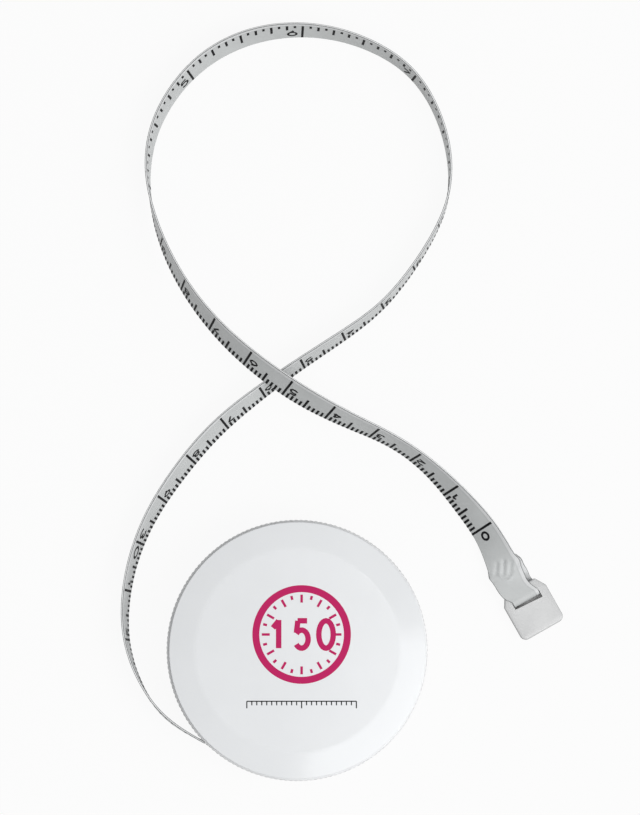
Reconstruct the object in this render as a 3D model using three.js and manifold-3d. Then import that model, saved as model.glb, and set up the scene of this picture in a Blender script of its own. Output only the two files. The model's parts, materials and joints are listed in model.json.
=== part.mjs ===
// A round spring-return cloth tape measure that lies on its rear face with a loop of tape drawn out.
// Millimetres, +Z up. The origin is the middle of the rear face, and the push cap faces +Z.
import * as THREE from 'three';
import { mergeVertices } from 'three/addons/utils/BufferGeometryUtils.js';
import Module from 'manifold-3d';

const wasm = await Module();
wasm.setup();

// Clearances
const seatGap = 0.05;         // between flat faces that rest on each other
const fitGap = 0.1;           // radial, between a piece and the hole that it is pressed in
const runGap = 0.15;          // radial, between pieces that turn or slide on each other
const cordGap = 0.3;          // between neighbouring stretches of tape
const overrun = 1;            // how far a cutter stands out of what it cuts
const mergeDistance = 1e-4;   // corners closer than this are one

// Facets round a full turn
const caseSegments = 64;
const reelSegments = 48;
const smallSegments = 24;
const pinSegments = 12;
const curveSegments = 10;     // of each arc in a flat outline
const wireSides = 6;

// Case shell
const knurlRadius = 26.3;     // over the crests of the grip ribs
const knurlDepth = 0.2;
const knurlCount = 163;
const knurlFoot = 1.1;        // height at which the ribs start
const knurlTop = 9.7;
const shellChamfer = 0.7;
const wallThickness = 1.4;
const floorThickness = 1.2;
const ledgeWidth = 0.6;       // the lip inside the rim that holds the cap's claws
const ledgeHeight = 0.9;

// Push cap
const capInset = 0.5;         // from the crests of the grip ribs to the cap's edge
const capConeWidth = 5.1;     // from the crease round the flat middle to the cap's edge
const capCrownDrop = 0.85;    // how far the cone falls from the crease to the edge
const capThickness = 1.15;
const capEdgeRadius = 0.4;
const capEdgeThickness = 0.8;
const skirtThickness = 0.55;
const skirtDepth = 1.2;
const clawCount = 3;
const clawDrop = 1.25;        // below the skirt
const clawArc = THREE.MathUtils.degToRad(22);
const clawTurn = THREE.MathUtils.degToRad(40);
const barbWidth = 0.5;
const barbHeight = 0.5;
const pressTravel = 0.8;

// Tape
const tapeWidth = 6.6;
const tapeThickness = 0.4;
const barNarrowing = 0.7;     // how much narrower the tape is where it goes round the end tab's bar
const narrowingLength = 5.5;  // over which it draws together, and turns square to the bar
const hingeReach = 9.6;       // from the bar to where the tape bends as the end tab swings
const leadLength = 15.5;      // from the end tab's bar to the zero mark
const windingGap = 0.42;      // between the turns
const windingSteps = 20;      // in each turn
const tapeSideGap = 0.2;      // between the tape's edges and the flanges
const mouthGap = 0.55;        // each side of the tape in the mouth
const mouthEdgeGap = 0.25;    // above and below the tape in the mouth
const mouthRunout = 2.5;      // how far the mouth's cut follows the free tape
const mouthInset = 0.07;      // from the crests of the grip ribs to the mouth
const mouthAngle = THREE.MathUtils.degToRad(-134.54);

// Reel
const flangeThickness = 0.6;
const flangeSideGap = 1.9;    // between the flanges and the shell's wall
const flangeRim = 1.23;       // of the flanges, outside the winding
const flangeLift = 0.3;       // between the floor and the lower flange
const drumRadius = 12.6;
const drumWall = 1.1;
const flangeSeatDepth = 0.5;
const webThickness = 0.7;
const bushWall = 0.85;
const bushFlangeWidth = 1;
const bushFlangeThickness = 0.3;
const coverThickness = 0.5;
const rivetRadius = 0.5;
const rivetHeadRadius = 0.9;
const rivetHeadThickness = 0.2;

// Arbor
const arborHeadRadius = 5;
const arborHeadThickness = 0.65;
const arborHeadRecess = 0.1;
const arborLowerRadius = 3.1;
const arborUpperRadius = 2.6;
const arborBore = 1.7;
const arborFloor = 0.5;       // solid bottom of the bore, above the head
const lockRingThickness = 0.4;
const lockRingWidth = 2.2;
const washerThickness = 0.25;
const washerWidth = 1.5;
const clipThickness = 0.3;
const clipDepth = 0.45;       // of the groove
const clipOpening = THREE.MathUtils.degToRad(70);
const arborTopMargin = 0.25;

// Brake and its return spring
const plateThickness = 0.6;
const plateSideGap = 0.6;     // between the plate and the drum
const plateHubWidth = 1.5;
const plateHubRise = 0.55;
const padThickness = 0.6;
const padCount = 3;
const padInset = 0.6;         // from the plate's edge
const padWidth = 3;
const padArc = THREE.MathUtils.degToRad(50);
const plateClearance = 0.2;   // left under the pressed plate
const stemRadius = 1.5;
const stemSeat = 0.6;         // depth of the stem in the cap
const crossPinRadius = 0.45;
const returnWire = 0.4;
const returnTurns = 3;
const returnFootInset = 0.7;  // from the plate's edge
const returnTaper = 3.6;      // how much less the radius of the spring's head is

// Mainspring
const mainspringThickness = 0.2;
const mainspringTurns = 9;
const mainspringInset = 0.7;  // from the arbor and from the drum
const innerBend = THREE.MathUtils.degToRad(24);   // turn taken by each bent end
const outerBend = THREE.MathUtils.degToRad(8);
const hookLength = 0.45;      // of each bent end, inside its groove
const hookSlack = 0.3;

// End tab: a plate with a slot, and between the slot and its inner edge the bar that carries the tape
const tabArmWidth = 1.8;      // each side of the slot
const tabLength = 10.2;
const tabThickness = 1.4;
const tabBarWidth = 2.1;      // from the tab's inner edge to the axis of the bar's round side
const tabSlotEnd = 1.55;      // from that axis
const tabSlotSideGap = 0.12;
const tabTopChamferLength = 2.3;
const tabTopChamferWidth = 1.4;
const tabBottomChamfer = 0.9;
const tabEdgeChamfer = 0.2;
const foldTableGap = 0.1;
const foldGap = 0.1;          // between the fold and the bar
const foldSlack = 0.3;        // how far the fold stands out into the slot
const tailClearance = 6.5;    // from the tail's end to the zero mark
const tailStart = 2.5;        // from the bar to where the tail starts to close on the tape above it
const tailClosed = 5;

// Route of the free tape, from the mouth to the bar of the end tab. Each point holds x, y, the height
// of the tape's lower edge above the table, and its lean in degrees from standing upright to the left.
const barPoint = [46.36, 11.07];
const barHeading = THREE.MathUtils.degToRad(-60.5);
const ROUTE = [
  [-26.9, -14.1, 1.6, -4], [-31.9, -6.7, 0.9, 2], [-34.8, 1.8, 0.4, 8], [-34.8, 10.9, 0.1, 13],
  [-32.9, 19.6, 0, 16], [-29.4, 27.8, 0, 21], [-23.8, 36.2, 0, 26], [-16.5, 45.0, 0, 27],
  [-8.0, 51.8, 0, 23], [0.6, 58.0, 0, 18], [9.6, 63.8, 0, 16], [17.0, 69.1, 0, 11], [22.7, 75.9, 0, 8],
  [27.7, 83.6, 0, 6], [31.3, 91.7, 0, 3], [31.4, 100.9, 0, -4], [28.5, 110.3, 0, -5],
  [23.4, 118.0, 0, -9], [15.6, 122.9, 0, -12], [6.9, 125.7, 0, -16], [-2.1, 126.2, 0, -20],
  [-11.0, 124.4, 0, -23], [-19.1, 120.0, 0, -22], [-25.3, 113.3, 0, -18], [-29.5, 105.2, 0.1, -14],
  [-30.6, 96.2, 0.4, -7], [-29.0, 87.3, 1.4, 4], [-25.9, 78.9, 2.9, 12], [-20.9, 70.4, 4.9, 17],
  [-14.4, 62.8, 6.5, 25], [-6.8, 56.4, 7.3, 31], [1.3, 50.9, 6.9, 34], [10.9, 46.1, 5.0, 25],
  [20.0, 42.4, 2.8, 18], [28.0, 36.5, 1.2, 24], [34.7, 29.0, 0.6, 41], [38.7, 23.9, 0.8, 48],
  [41.2, 18.7, 1.2, 60], [42.8, 15.3, 1.9, 87], [44.2, 12.1, 2.1, 90],
];
const freeSteps = 76;
const freeSamples = 2500;
const endSteps = 10;

// Heights, worked out upward from the rear face
const tapeBottom = floorThickness + flangeLift + flangeThickness + tapeSideGap;
const tapeMiddle = tapeBottom + tapeWidth / 2;
const upperFlangeBottom = tapeBottom + tapeWidth + tapeSideGap;
const reelTop = upperFlangeBottom + flangeThickness;
const reelBottom = floorThickness + flangeLift;
const lockRingBottom = floorThickness + fitGap;
const lockRingTop = lockRingBottom + lockRingThickness;
const plateBottom = lockRingTop + plateClearance + pressTravel;
const plateTop = plateBottom + plateThickness;
const padBottom = plateTop + seatGap;
const padTop = padBottom + padThickness;
const webBottom = padTop + seatGap;
const webTop = webBottom + webThickness;
const crossPinHeight = plateBottom + (plateThickness + plateHubRise) / 2;
const coverTop = reelTop - fitGap;
const coverBottom = coverTop - coverThickness;
const washerBottom = coverTop + seatGap;
const clipBottom = washerBottom + washerThickness + seatGap;
const arborTop = clipBottom + clipThickness + arborTopMargin;
const capInside = arborTop + pressTravel + fitGap;
const caseHeight = capInside + capThickness;
const coneEdgeHeight = caseHeight - capCrownDrop;
const capRimBottom = coneEdgeHeight - capEdgeThickness;
const shellTop = capRimBottom - pressTravel - runGap;
const ledgeBottom = shellTop - ledgeHeight;
const shellInside = knurlRadius - knurlDepth - wallThickness;
const flangeRadius = shellInside - flangeSideGap;
const windingOuter = flangeRadius - flangeRim;
const mouthPoint = polar(knurlRadius - mouthInset, mouthAngle);
const capRadius = knurlRadius - capInset;
const capFlatRadius = capRadius - capConeWidth;
const ledgeRadius = shellInside - ledgeWidth;
const skirtRadius = ledgeRadius - runGap;
const skirtBottom = capRimBottom - skirtDepth;
const tailLength = leadLength - tailClearance;
const barTapeWidth = tapeWidth - barNarrowing;
const tabSlotSide = barTapeWidth / 2 + tabSlotSideGap;
const tabWidth = 2 * (tabSlotSide + tabArmWidth);
const tabBarRadius = tabThickness / 2;
const tabMiddle = foldTableGap + tapeThickness + foldGap + tabBarRadius;
const foldRadius = tabBarRadius + foldGap + tapeThickness / 2;
const barAhead = new THREE.Vector3(...polar(1, barHeading), 0);
const barLeft = new THREE.Vector3(-barAhead.y, barAhead.x, 0);
const chamberRadius = drumRadius - drumWall;
const rivetHeight = webTop + 2 * fitGap + rivetHeadRadius;
const plateRadius = chamberRadius - plateSideGap;
const padOuterRadius = plateRadius - padInset;
const returnFootRadius = plateRadius - returnFootInset;
const returnHeadRadius = returnFootRadius - returnTaper;
const bushFlangeTop = webTop + seatGap + bushFlangeThickness;
const mainspringBottom = bushFlangeTop + fitGap;
const mainspringTop = coverBottom - fitGap;
const mainspringWidth = mainspringTop - mainspringBottom;
const mainspringMiddle = (mainspringTop + mainspringBottom) / 2;
const mainspringGroove = mainspringThickness + 2 * hookSlack;
const mainspringStart = Math.PI / 2;

// Materials
const white = new THREE.MeshStandardMaterial({ color: 0xe9ebed, roughness: 0.25, metalness: 0 });
const shellWhite = new THREE.MeshStandardMaterial({ color: 0xdfe1e3, roughness: 0.35, metalness: 0 });
const reelPlastic = new THREE.MeshStandardMaterial({ color: 0xcfd2d4, roughness: 0.45, metalness: 0 });
const tabPlastic = new THREE.MeshStandardMaterial({ color: 0xe3e5e5, roughness: 0.3, metalness: 0 });
const tapeCloth = new THREE.MeshStandardMaterial({ color: 0xd6d9d8, roughness: 0.5, metalness: 0 });
const steel = new THREE.MeshStandardMaterial({ color: 0x9a9da1, roughness: 0.35, metalness: 1 });
const springSteel = new THREE.MeshStandardMaterial({ color: 0x6f767f, roughness: 0.3, metalness: 1 });
const brass = new THREE.MeshStandardMaterial({ color: 0xb59a57, roughness: 0.35, metalness: 1 });
const rubber = new THREE.MeshStandardMaterial({ color: 0x2c2c2c, roughness: 0.85, metalness: 0 });

// Solids

function signedVolume(geometry) {
  const p = geometry.attributes.position;
  const index = geometry.index;
  const a = new THREE.Vector3();
  const b = new THREE.Vector3();
  const c = new THREE.Vector3();
  let sum = 0;
  for (let i = 0; i < index.count; i += 3) {
    a.fromBufferAttribute(p, index.getX(i));
    b.fromBufferAttribute(p, index.getX(i + 1));
    c.fromBufferAttribute(p, index.getX(i + 2));
    sum += a.dot(b.cross(c));
  }
  return sum;
}

// Shared corners merged, empty triangles dropped and the faces turned outward
function closed(geometry) {
  const bare = new THREE.BufferGeometry();
  bare.setAttribute('position', geometry.attributes.position);
  if (geometry.index) bare.setIndex(geometry.index);
  const merged = mergeVertices(bare, mergeDistance);
  const index = merged.index.array;
  const kept = [];
  for (let i = 0; i < index.length; i += 3) {
    const [a, b, c] = [index[i], index[i + 1], index[i + 2]];
    if (a !== b && b !== c && c !== a) kept.push(a, b, c);
  }
  merged.setIndex(kept);
  if (signedVolume(merged) < 0) {
    for (let i = 0; i < kept.length; i += 3) [kept[i + 1], kept[i + 2]] = [kept[i + 2], kept[i + 1]];
    merged.setIndex(kept);
  }
  return merged;
}

function toSolid(geometry) {
  const vertProperties = new Float32Array(geometry.attributes.position.array);
  const triVerts = new Uint32Array(geometry.index.array);
  return new wasm.Manifold(new wasm.Mesh({ numProp: 3, vertProperties, triVerts }));
}

function toGeometry(solid) {
  const mesh = solid.getMesh();
  const geometry = new THREE.BufferGeometry();
  geometry.setAttribute('position', new THREE.BufferAttribute(new Float32Array(mesh.vertProperties), 3));
  geometry.setIndex(Array.from(mesh.triVerts));
  return geometry;
}

function join(first, ...rest) {
  return toGeometry(rest.reduce((sum, next) => sum.add(toSolid(next)), toSolid(first)));
}

function cut(first, ...rest) {
  return toGeometry(rest.reduce((left, next) => left.subtract(toSolid(next)), toSolid(first)));
}

// A profile of [radius, height] turned about Z; it closes on itself or ends on the axis
function turned(profile, segments) {
  const points = profile.map(([radius, height]) => new THREE.Vector2(radius, height));
  const onAxis = profile[0][0] === 0 && profile[profile.length - 1][0] === 0;
  if (!onAxis) points.push(points[0].clone());
  return closed(new THREE.LatheGeometry(points, segments).rotateX(Math.PI / 2));
}

// A flat outline raised from one height to another
function raised(shape, bottom, top, arcSegments = curveSegments) {
  const settings = { depth: top - bottom, bevelEnabled: false, curveSegments: arcSegments };
  return closed(new THREE.ExtrudeGeometry(shape, settings).translate(0, 0, bottom));
}

function outline(points) {
  return new THREE.Shape(points.map(([x, y]) => new THREE.Vector2(x, y)));
}

function sector(innerRadius, outerRadius, middle, span) {
  const shape = new THREE.Shape();
  shape.absarc(0, 0, outerRadius, middle - span / 2, middle + span / 2, false);
  shape.absarc(0, 0, innerRadius, middle + span / 2, middle - span / 2, true);
  return shape;
}

function box(width, depth, height) {
  return closed(new THREE.BoxGeometry(width, depth, height));
}

// A section of [across, up] points carried along frames of { at, across, up }
function swept(frames, section) {
  const position = [];
  for (const { at, across, up } of frames) {
    for (const [s, t] of section) {
      const corner = at.clone().addScaledVector(across, s).addScaledVector(up, t);
      position.push(corner.x, corner.y, corner.z);
    }
  }
  const index = [];
  const sides = section.length;
  for (let ring = 0; ring + 1 < frames.length; ring += 1) {
    for (let side = 0; side < sides; side += 1) {
      const a = ring * sides + side;
      const b = ring * sides + (side + 1) % sides;
      index.push(a, b, a + sides, b, b + sides, a + sides);
    }
  }
  const last = (frames.length - 1) * sides;
  for (let side = 1; side + 1 < sides; side += 1) {
    index.push(0, side + 1, side);
    index.push(last, last + side, last + side + 1);
  }
  const geometry = new THREE.BufferGeometry();
  geometry.setAttribute('position', new THREE.Float32BufferAttribute(position, 3));
  geometry.setIndex(index);
  return closed(geometry);
}

function oblong(width, thickness) {
  const [x, y] = [thickness / 2, width / 2];
  return [[-x, -y], [x, -y], [x, y], [-x, y]];
}

function round(radius, sides) {
  const corners = Array.from({ length: sides }, (_, i) => (i / sides) * 2 * Math.PI);
  return corners.map((angle) => [radius * Math.cos(angle), radius * Math.sin(angle)]);
}

// Frames of an upright strip that follows points in a flat plane at one height
function uprightFrames(points, height) {
  return points.map((point, i) => {
    const before = points[Math.max(i - 1, 0)];
    const after = points[Math.min(i + 1, points.length - 1)];
    const along = new THREE.Vector3(after[0] - before[0], after[1] - before[1], 0).normalize();
    const across = new THREE.Vector3(-along.y, along.x, 0);
    return { at: new THREE.Vector3(point[0], point[1], height), across, up: new THREE.Vector3(0, 0, 1) };
  });
}

function polar(radius, angle) {
  return [radius * Math.cos(angle), radius * Math.sin(angle)];
}

// Uniform cubic B-spline through a list of points, each with any number of values
function splinePoint(points, t) {
  const span = Math.min(Math.floor(t), points.length - 4);
  const u = t - span;
  const weights = [
    (1 - u) ** 3 / 6,
    (3 * u ** 3 - 6 * u ** 2 + 4) / 6,
    (-3 * u ** 3 + 3 * u ** 2 + 3 * u + 1) / 6,
    u ** 3 / 6,
  ];
  return points[span].map((_, k) => weights.reduce((sum, w, i) => sum + w * points[span + i][k], 0));
}

// The free tape's middle line, with its lean and the distance along it at each of its points
function freeLine() {
  const start = [...mouthPoint, tapeBottom, 0];
  const end = [...barPoint, tabMiddle + tabBarRadius + foldGap, 90];
  const mirrored = (edge, next) => edge.map((value, k) => 2 * value - next[k]);
  const all = [mirrored(start, ROUTE[0]), start, ...ROUTE, end, mirrored(end, ROUTE[ROUTE.length - 1])];
  const spans = all.length - 3;
  const samples = Array.from({ length: freeSamples + 1 }, (_, i) => (
    splinePoint(all, (i / freeSamples) * spans)
  ));
  const centres = samples.map(([x, y, rise, leanDegrees]) => {
    const lean = THREE.MathUtils.degToRad(leanDegrees);
    const height = rise + (tapeWidth * Math.cos(lean) + tapeThickness * Math.abs(Math.sin(lean))) / 2;
    return { at: new THREE.Vector3(x, y, height), lean };
  });
  let length = 0;
  const reach = centres.map(({ at }, i) => {
    if (i > 0) length += at.distanceTo(centres[i - 1].at);
    return length;
  });
  return { centres, reach, length };
}

const free = freeLine();

// The free tape at a distance from the mouth: "up" points from its lower edge to its upper edge, and is
// shorter than 1 where the tape is narrower
function freeFrame(want) {
  const { centres, reach, length } = free;
  const i = Math.max(1, reach.findIndex((value) => value >= want));
  const share = (want - reach[i - 1]) / (reach[i] - reach[i - 1]);
  const at = centres[i - 1].at.clone().lerp(centres[i].at, share);
  const lean = THREE.MathUtils.lerp(centres[i - 1].lean, centres[i].lean, share);
  const along = centres[i].at.clone().sub(centres[i - 1].at).normalize();
  const left = new THREE.Vector3(-along.y, along.x, 0).normalize();
  const over = new THREE.Vector3().crossVectors(along, left);
  const up = left.clone().multiplyScalar(Math.sin(lean)).addScaledVector(over, Math.cos(lean));
  const near = THREE.MathUtils.smoothstep(want, length - narrowingLength, length);
  up.lerp(barLeft, near).normalize();
  const across = new THREE.Vector3().crossVectors(up, along).normalize();
  up.multiplyScalar(THREE.MathUtils.lerp(1, barTapeWidth / tapeWidth, near));
  return { at, across, up };
}

function freeFrames(start, end, steps) {
  return Array.from({ length: steps + 1 }, (_, k) => freeFrame(start + (k / steps) * (end - start)));
}

// Tape

const windingPitch = tapeThickness + windingGap;
const windingInner = drumRadius + windingPitch / 2;
const hingeAt = free.length - hingeReach;

function planarLength(points) {
  return points.slice(1).reduce((sum, [x, y], i) => sum + Math.hypot(x - points[i][0], y - points[i][1]), 0);
}

// The stretch from the roll to the mouth bends gently from the roll's tangent to the free tape's heading
function runPoints(startRadius, runout) {
  const start = new THREE.Vector2(0, -startRadius);
  const mouth = new THREE.Vector2(...mouthPoint);
  const heading = new THREE.Vector2(...ROUTE[0]).sub(mouth).normalize();
  const back = (mouth.y + startRadius) / heading.y;
  const bend = mouth.clone().addScaledVector(heading, -back);
  const curve = new THREE.QuadraticBezierCurve(start, bend, mouth);
  const points = curve.getSpacedPoints(16).map(({ x, y }) => [x, y]);
  if (runout > 0) points.push([mouth.x + heading.x * runout, mouth.y + heading.y * runout]);
  return points;
}

const woundTurns = (windingOuter - windingInner) / windingPitch;
const woundLength = Math.PI * woundTurns * (windingInner + windingOuter);
const windingEndAngle = -Math.PI / 2 + windingPitch / windingOuter;
const runRadius = windingOuter + windingPitch;
const runLength = planarLength(runPoints(runRadius, 0));
const tapeTotal = woundLength + runLength + free.length - leadLength;

function windingAt(turn) {
  return polar(windingInner + windingPitch * turn, windingEndAngle + (woundTurns - turn) * 2 * Math.PI);
}

function windingFrames() {
  const steps = Math.ceil(woundTurns * windingSteps);
  const points = Array.from({ length: steps + 1 }, (_, i) => windingAt((i / steps) * woundTurns));
  return uprightFrames(points, tapeMiddle);
}

// Least gap between stretches of the tape that are at least so many frames apart, measured on points
function leastGap(frames, apart) {
  const shares = [-0.5, -0.25, 0, 0.25, 0.5];
  const rows = frames.map(({ at, up }) => (
    shares.map((share) => at.clone().addScaledVector(up, share * tapeWidth))
  ));
  let least = Infinity;
  for (let i = 0; i + apart < rows.length; i += 1) {
    for (const other of rows.slice(i + apart).flat()) {
      for (const point of rows[i]) least = Math.min(least, point.distanceTo(other));
    }
  }
  return least - tapeThickness;
}

const windingLeast = leastGap(windingFrames(), Math.floor(windingSteps / 2));
const freeLeast = leastGap(freeFrames(0, free.length, 4 * freeSteps), freeSteps);
console.log(`least gap of the winding to itself ${windingLeast.toFixed(3)} mm`);
console.log(`least gap of the free tape to itself ${freeLeast.toFixed(3)} mm`);
console.log(`length of the free tape ${free.length.toFixed(1)} mm`);
console.log(`length from the zero mark to the inner end ${tapeTotal.toFixed(1)} mm`);

const hinge = freeFrame(hingeAt);
console.log(`the tape bends at ${hinge.at.toArray().map((value) => value.toFixed(2))} mm`);
console.log(`round ${hinge.up.toArray().map((value) => value.toFixed(4))}`);

const rivetTurn = 0.05;
const rivetPoint = windingAt(rivetTurn);

function rivetHole(reach) {
  const hole = new THREE.CylinderGeometry(rivetRadius + seatGap, rivetRadius + seatGap, reach, pinSegments);
  hole.rotateZ(Math.PI / 2);
  hole.rotateZ(Math.atan2(rivetPoint[1], rivetPoint[0]));
  hole.translate(rivetPoint[0], rivetPoint[1], rivetHeight);
  return closed(hole);
}

function tapeWinding() {
  return cut(swept(windingFrames(), oblong(tapeWidth, tapeThickness)), rivetHole(windingPitch));
}

function tapeRivet() {
  const middle = Math.hypot(...rivetPoint);
  const inside = chamberRadius - seatGap - middle;
  const outside = tapeThickness / 2 + seatGap;
  const profile = [
    [0, inside - rivetHeadThickness], [rivetHeadRadius, inside - rivetHeadThickness],
    [rivetHeadRadius, inside - seatGap], [rivetRadius, inside - seatGap],
    [rivetRadius, outside + seatGap], [rivetHeadRadius, outside + seatGap],
    [rivetHeadRadius, outside + rivetHeadThickness], [0, outside + rivetHeadThickness],
  ];
  const rivet = turned(profile, pinSegments).rotateY(Math.PI / 2);
  rivet.rotateZ(Math.atan2(rivetPoint[1], rivetPoint[0]));
  return rivet.translate(rivetPoint[0], rivetPoint[1], rivetHeight);
}

function tapeRun() {
  const points = runPoints(runRadius, 0);
  const [x, y] = points[points.length - 1];
  const [px, py] = points[points.length - 2];
  const share = cordGap / 2 / Math.hypot(x - px, y - py);
  points[points.length - 1] = [x + (px - x) * share, y + (py - y) * share];
  return swept(uprightFrames(points, tapeMiddle), oblong(tapeWidth, tapeThickness));
}

function tapeFree() {
  return swept(freeFrames(cordGap / 2, hingeAt - cordGap / 2, freeSteps), oblong(tapeWidth, tapeThickness));
}

// Frames of the tape round the bar's round side, from its top to its underside
function loopFrames() {
  const bar = new THREE.Vector3(...barPoint, tabMiddle);
  const rise = new THREE.Vector3(0, 0, 1);
  const steps = 10;
  const points = Array.from({ length: steps + 1 }, (_, i) => {
    const angle = (0.5 - i / steps) * Math.PI;
    const slack = foldSlack * THREE.MathUtils.smoothstep(i / steps, 0, 0.6);
    const reach = foldRadius * Math.cos(angle) + slack;
    return bar.clone().addScaledVector(barAhead, reach).addScaledVector(rise, foldRadius * Math.sin(angle));
  });
  const up = barLeft.clone().multiplyScalar(barTapeWidth / tapeWidth);
  return points.map((at, i) => {
    const before = points[Math.max(i - 1, 0)];
    const along = points[Math.min(i + 1, steps)].clone().sub(before).normalize();
    return { at, across: new THREE.Vector3().crossVectors(barLeft, along).normalize(), up };
  });
}

// The tape's end goes over the end tab's bar, through its slot and back under itself
function tapeFold() {
  const main = freeFrames(hingeAt + cordGap / 2, free.length, endSteps).slice(0, -1);
  const closeTo = tapeThickness + cordGap;
  const tailSteps = Math.floor(tailLength);
  const tail = Array.from({ length: tailSteps }, (_, i) => {
    const back = ((i + 1) / tailSteps) * tailLength;
    const above = freeFrame(free.length - back);
    const closed = THREE.MathUtils.smoothstep(back, tailStart, tailClosed);
    const drop = THREE.MathUtils.lerp(2 * foldRadius, closeTo, closed);
    const at = above.at.clone().addScaledVector(above.across, drop);
    return { at, across: above.across.clone().negate(), up: above.up };
  });
  return swept([...main, ...loopFrames(), ...tail], oblong(tapeWidth, tapeThickness));
}

// Case

function knurlBand(rootRadius) {
  const step = (2 * Math.PI) / knurlCount;
  const corners = Array.from({ length: knurlCount }, (_, i) => [
    polar(knurlRadius, i * step), polar(rootRadius, (i + 0.5) * step),
  ]).flat();
  const shape = outline(corners);
  shape.holes.push(new THREE.Path().absarc(0, 0, shellInside + wallThickness / 4, 0, 2 * Math.PI, true));
  return raised(shape, knurlFoot, knurlTop, reelSegments);
}

function bodyShell() {
  const root = knurlRadius - knurlDepth;
  const core = shellInside + wallThickness / 2;
  const headRoom = arborHeadRecess + arborHeadThickness + seatGap;
  const shell = turned([
    [arborLowerRadius + fitGap, headRoom], [arborHeadRadius + fitGap, headRoom],
    [arborHeadRadius + fitGap, 0], [root - shellChamfer, 0],
    [root, shellChamfer], [root, knurlFoot],
    [core, knurlFoot], [core, knurlTop],
    [root, knurlTop], [root, shellTop - shellChamfer / 2], [root - shellChamfer / 2, shellTop],
    [ledgeRadius, shellTop], [ledgeRadius, ledgeBottom],
    [shellInside, ledgeBottom], [shellInside, floorThickness],
    [arborLowerRadius + fitGap, floorThickness],
  ], caseSegments);
  const mouth = swept(
    uprightFrames(runPoints(runRadius, mouthRunout), tapeMiddle),
    oblong(tapeWidth + 2 * mouthEdgeGap, tapeThickness + 2 * mouthGap),
  );
  return cut(join(shell, knurlBand(root)), mouth);
}

function arbor() {
  const headTop = arborHeadRecess + arborHeadThickness;
  const post = turned([
    [0, arborHeadRecess], [arborHeadRadius, arborHeadRecess], [arborHeadRadius, headTop],
    [arborLowerRadius, headTop], [arborLowerRadius, webBottom],
    [arborUpperRadius, webBottom], [arborUpperRadius, clipBottom - seatGap],
    [arborUpperRadius - clipDepth, clipBottom - seatGap],
    [arborUpperRadius - clipDepth, clipBottom + clipThickness + seatGap],
    [arborUpperRadius, clipBottom + clipThickness + seatGap], [arborUpperRadius, arborTop],
    [arborBore, arborTop], [arborBore, headTop + arborFloor], [0, headTop + arborFloor],
  ], smallSegments);
  const windowWidth = 2 * (crossPinRadius + fitGap);
  const windowHeight = windowWidth + pressTravel;
  const window = box(2 * (arborLowerRadius + overrun), windowWidth, windowHeight);
  window.translate(0, 0, crossPinHeight - pressTravel / 2);
  const grooveDepth = hookLength + hookSlack + overrun;
  const groove = box(mainspringGroove, grooveDepth, mainspringWidth + 2 * hookSlack);
  groove.translate(0, arborUpperRadius - hookLength - hookSlack + grooveDepth / 2, mainspringMiddle);
  return cut(post, window, groove);
}

function flatRing(innerRadius, outerRadius, bottom, thickness, segments) {
  return turned([
    [innerRadius, bottom], [outerRadius, bottom],
    [outerRadius, bottom + thickness], [innerRadius, bottom + thickness],
  ], segments);
}

function lockRing() {
  const inner = arborLowerRadius + fitGap;
  return flatRing(inner, inner + lockRingWidth, lockRingBottom, lockRingThickness, smallSegments);
}

function washer() {
  const inner = arborUpperRadius + runGap;
  return flatRing(inner, inner + washerWidth, washerBottom, washerThickness, smallSegments);
}

function arborClip() {
  const inner = arborUpperRadius - clipDepth + seatGap;
  const shape = sector(inner, arborUpperRadius + washerWidth - runGap, Math.PI, 2 * Math.PI - clipOpening);
  return raised(shape, clipBottom, clipBottom + clipThickness, smallSegments);
}

// A spring strip with both ends bent into the grooves of the arbor and the drum
function mainspring() {
  const inner = arborUpperRadius + mainspringInset;
  const outer = chamberRadius - mainspringInset;
  const hookIn = arborUpperRadius - hookLength;
  const hookOut = chamberRadius + hookLength;
  const hookSteps = 4;
  const turnSteps = 16;
  const points = [];
  for (let i = 0; i < hookSteps; i += 1) {
    const share = i / hookSteps;
    points.push(polar(hookIn + (inner - hookIn) * share, mainspringStart + innerBend * share ** 2));
  }
  const steps = mainspringTurns * turnSteps;
  for (let i = 0; i <= steps; i += 1) {
    const share = i / steps;
    const angle = mainspringStart + innerBend + share * mainspringTurns * 2 * Math.PI;
    points.push(polar(inner + (outer - inner) * share, angle));
  }
  const lastAngle = mainspringStart + innerBend + mainspringTurns * 2 * Math.PI;
  for (let i = hookSteps - 1; i >= 0; i -= 1) {
    const share = i / hookSteps;
    points.push(polar(hookOut + (outer - hookOut) * share, lastAngle + outerBend * (1 - share ** 2)));
  }
  return swept(uprightFrames(points, mainspringMiddle), oblong(mainspringWidth, mainspringThickness));
}

function returnSpring() {
  const steps = returnTurns * 20;
  const foot = floorThickness + seatGap + returnWire / 2;
  const head = plateBottom - seatGap - returnWire / 2;
  const frames = Array.from({ length: steps + 1 }, (_, i) => {
    const share = i / steps;
    const angle = share * returnTurns * 2 * Math.PI;
    const radius = THREE.MathUtils.lerp(returnFootRadius, returnHeadRadius, share);
    const spoke = new THREE.Vector3(...polar(1, angle), 0);
    const at = spoke.clone().multiplyScalar(radius).setZ(THREE.MathUtils.lerp(foot, head, share));
    return { at, across: spoke, up: new THREE.Vector3(0, 0, 1) };
  });
  return swept(frames, round(returnWire / 2, wireSides));
}

// Reel

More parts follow.
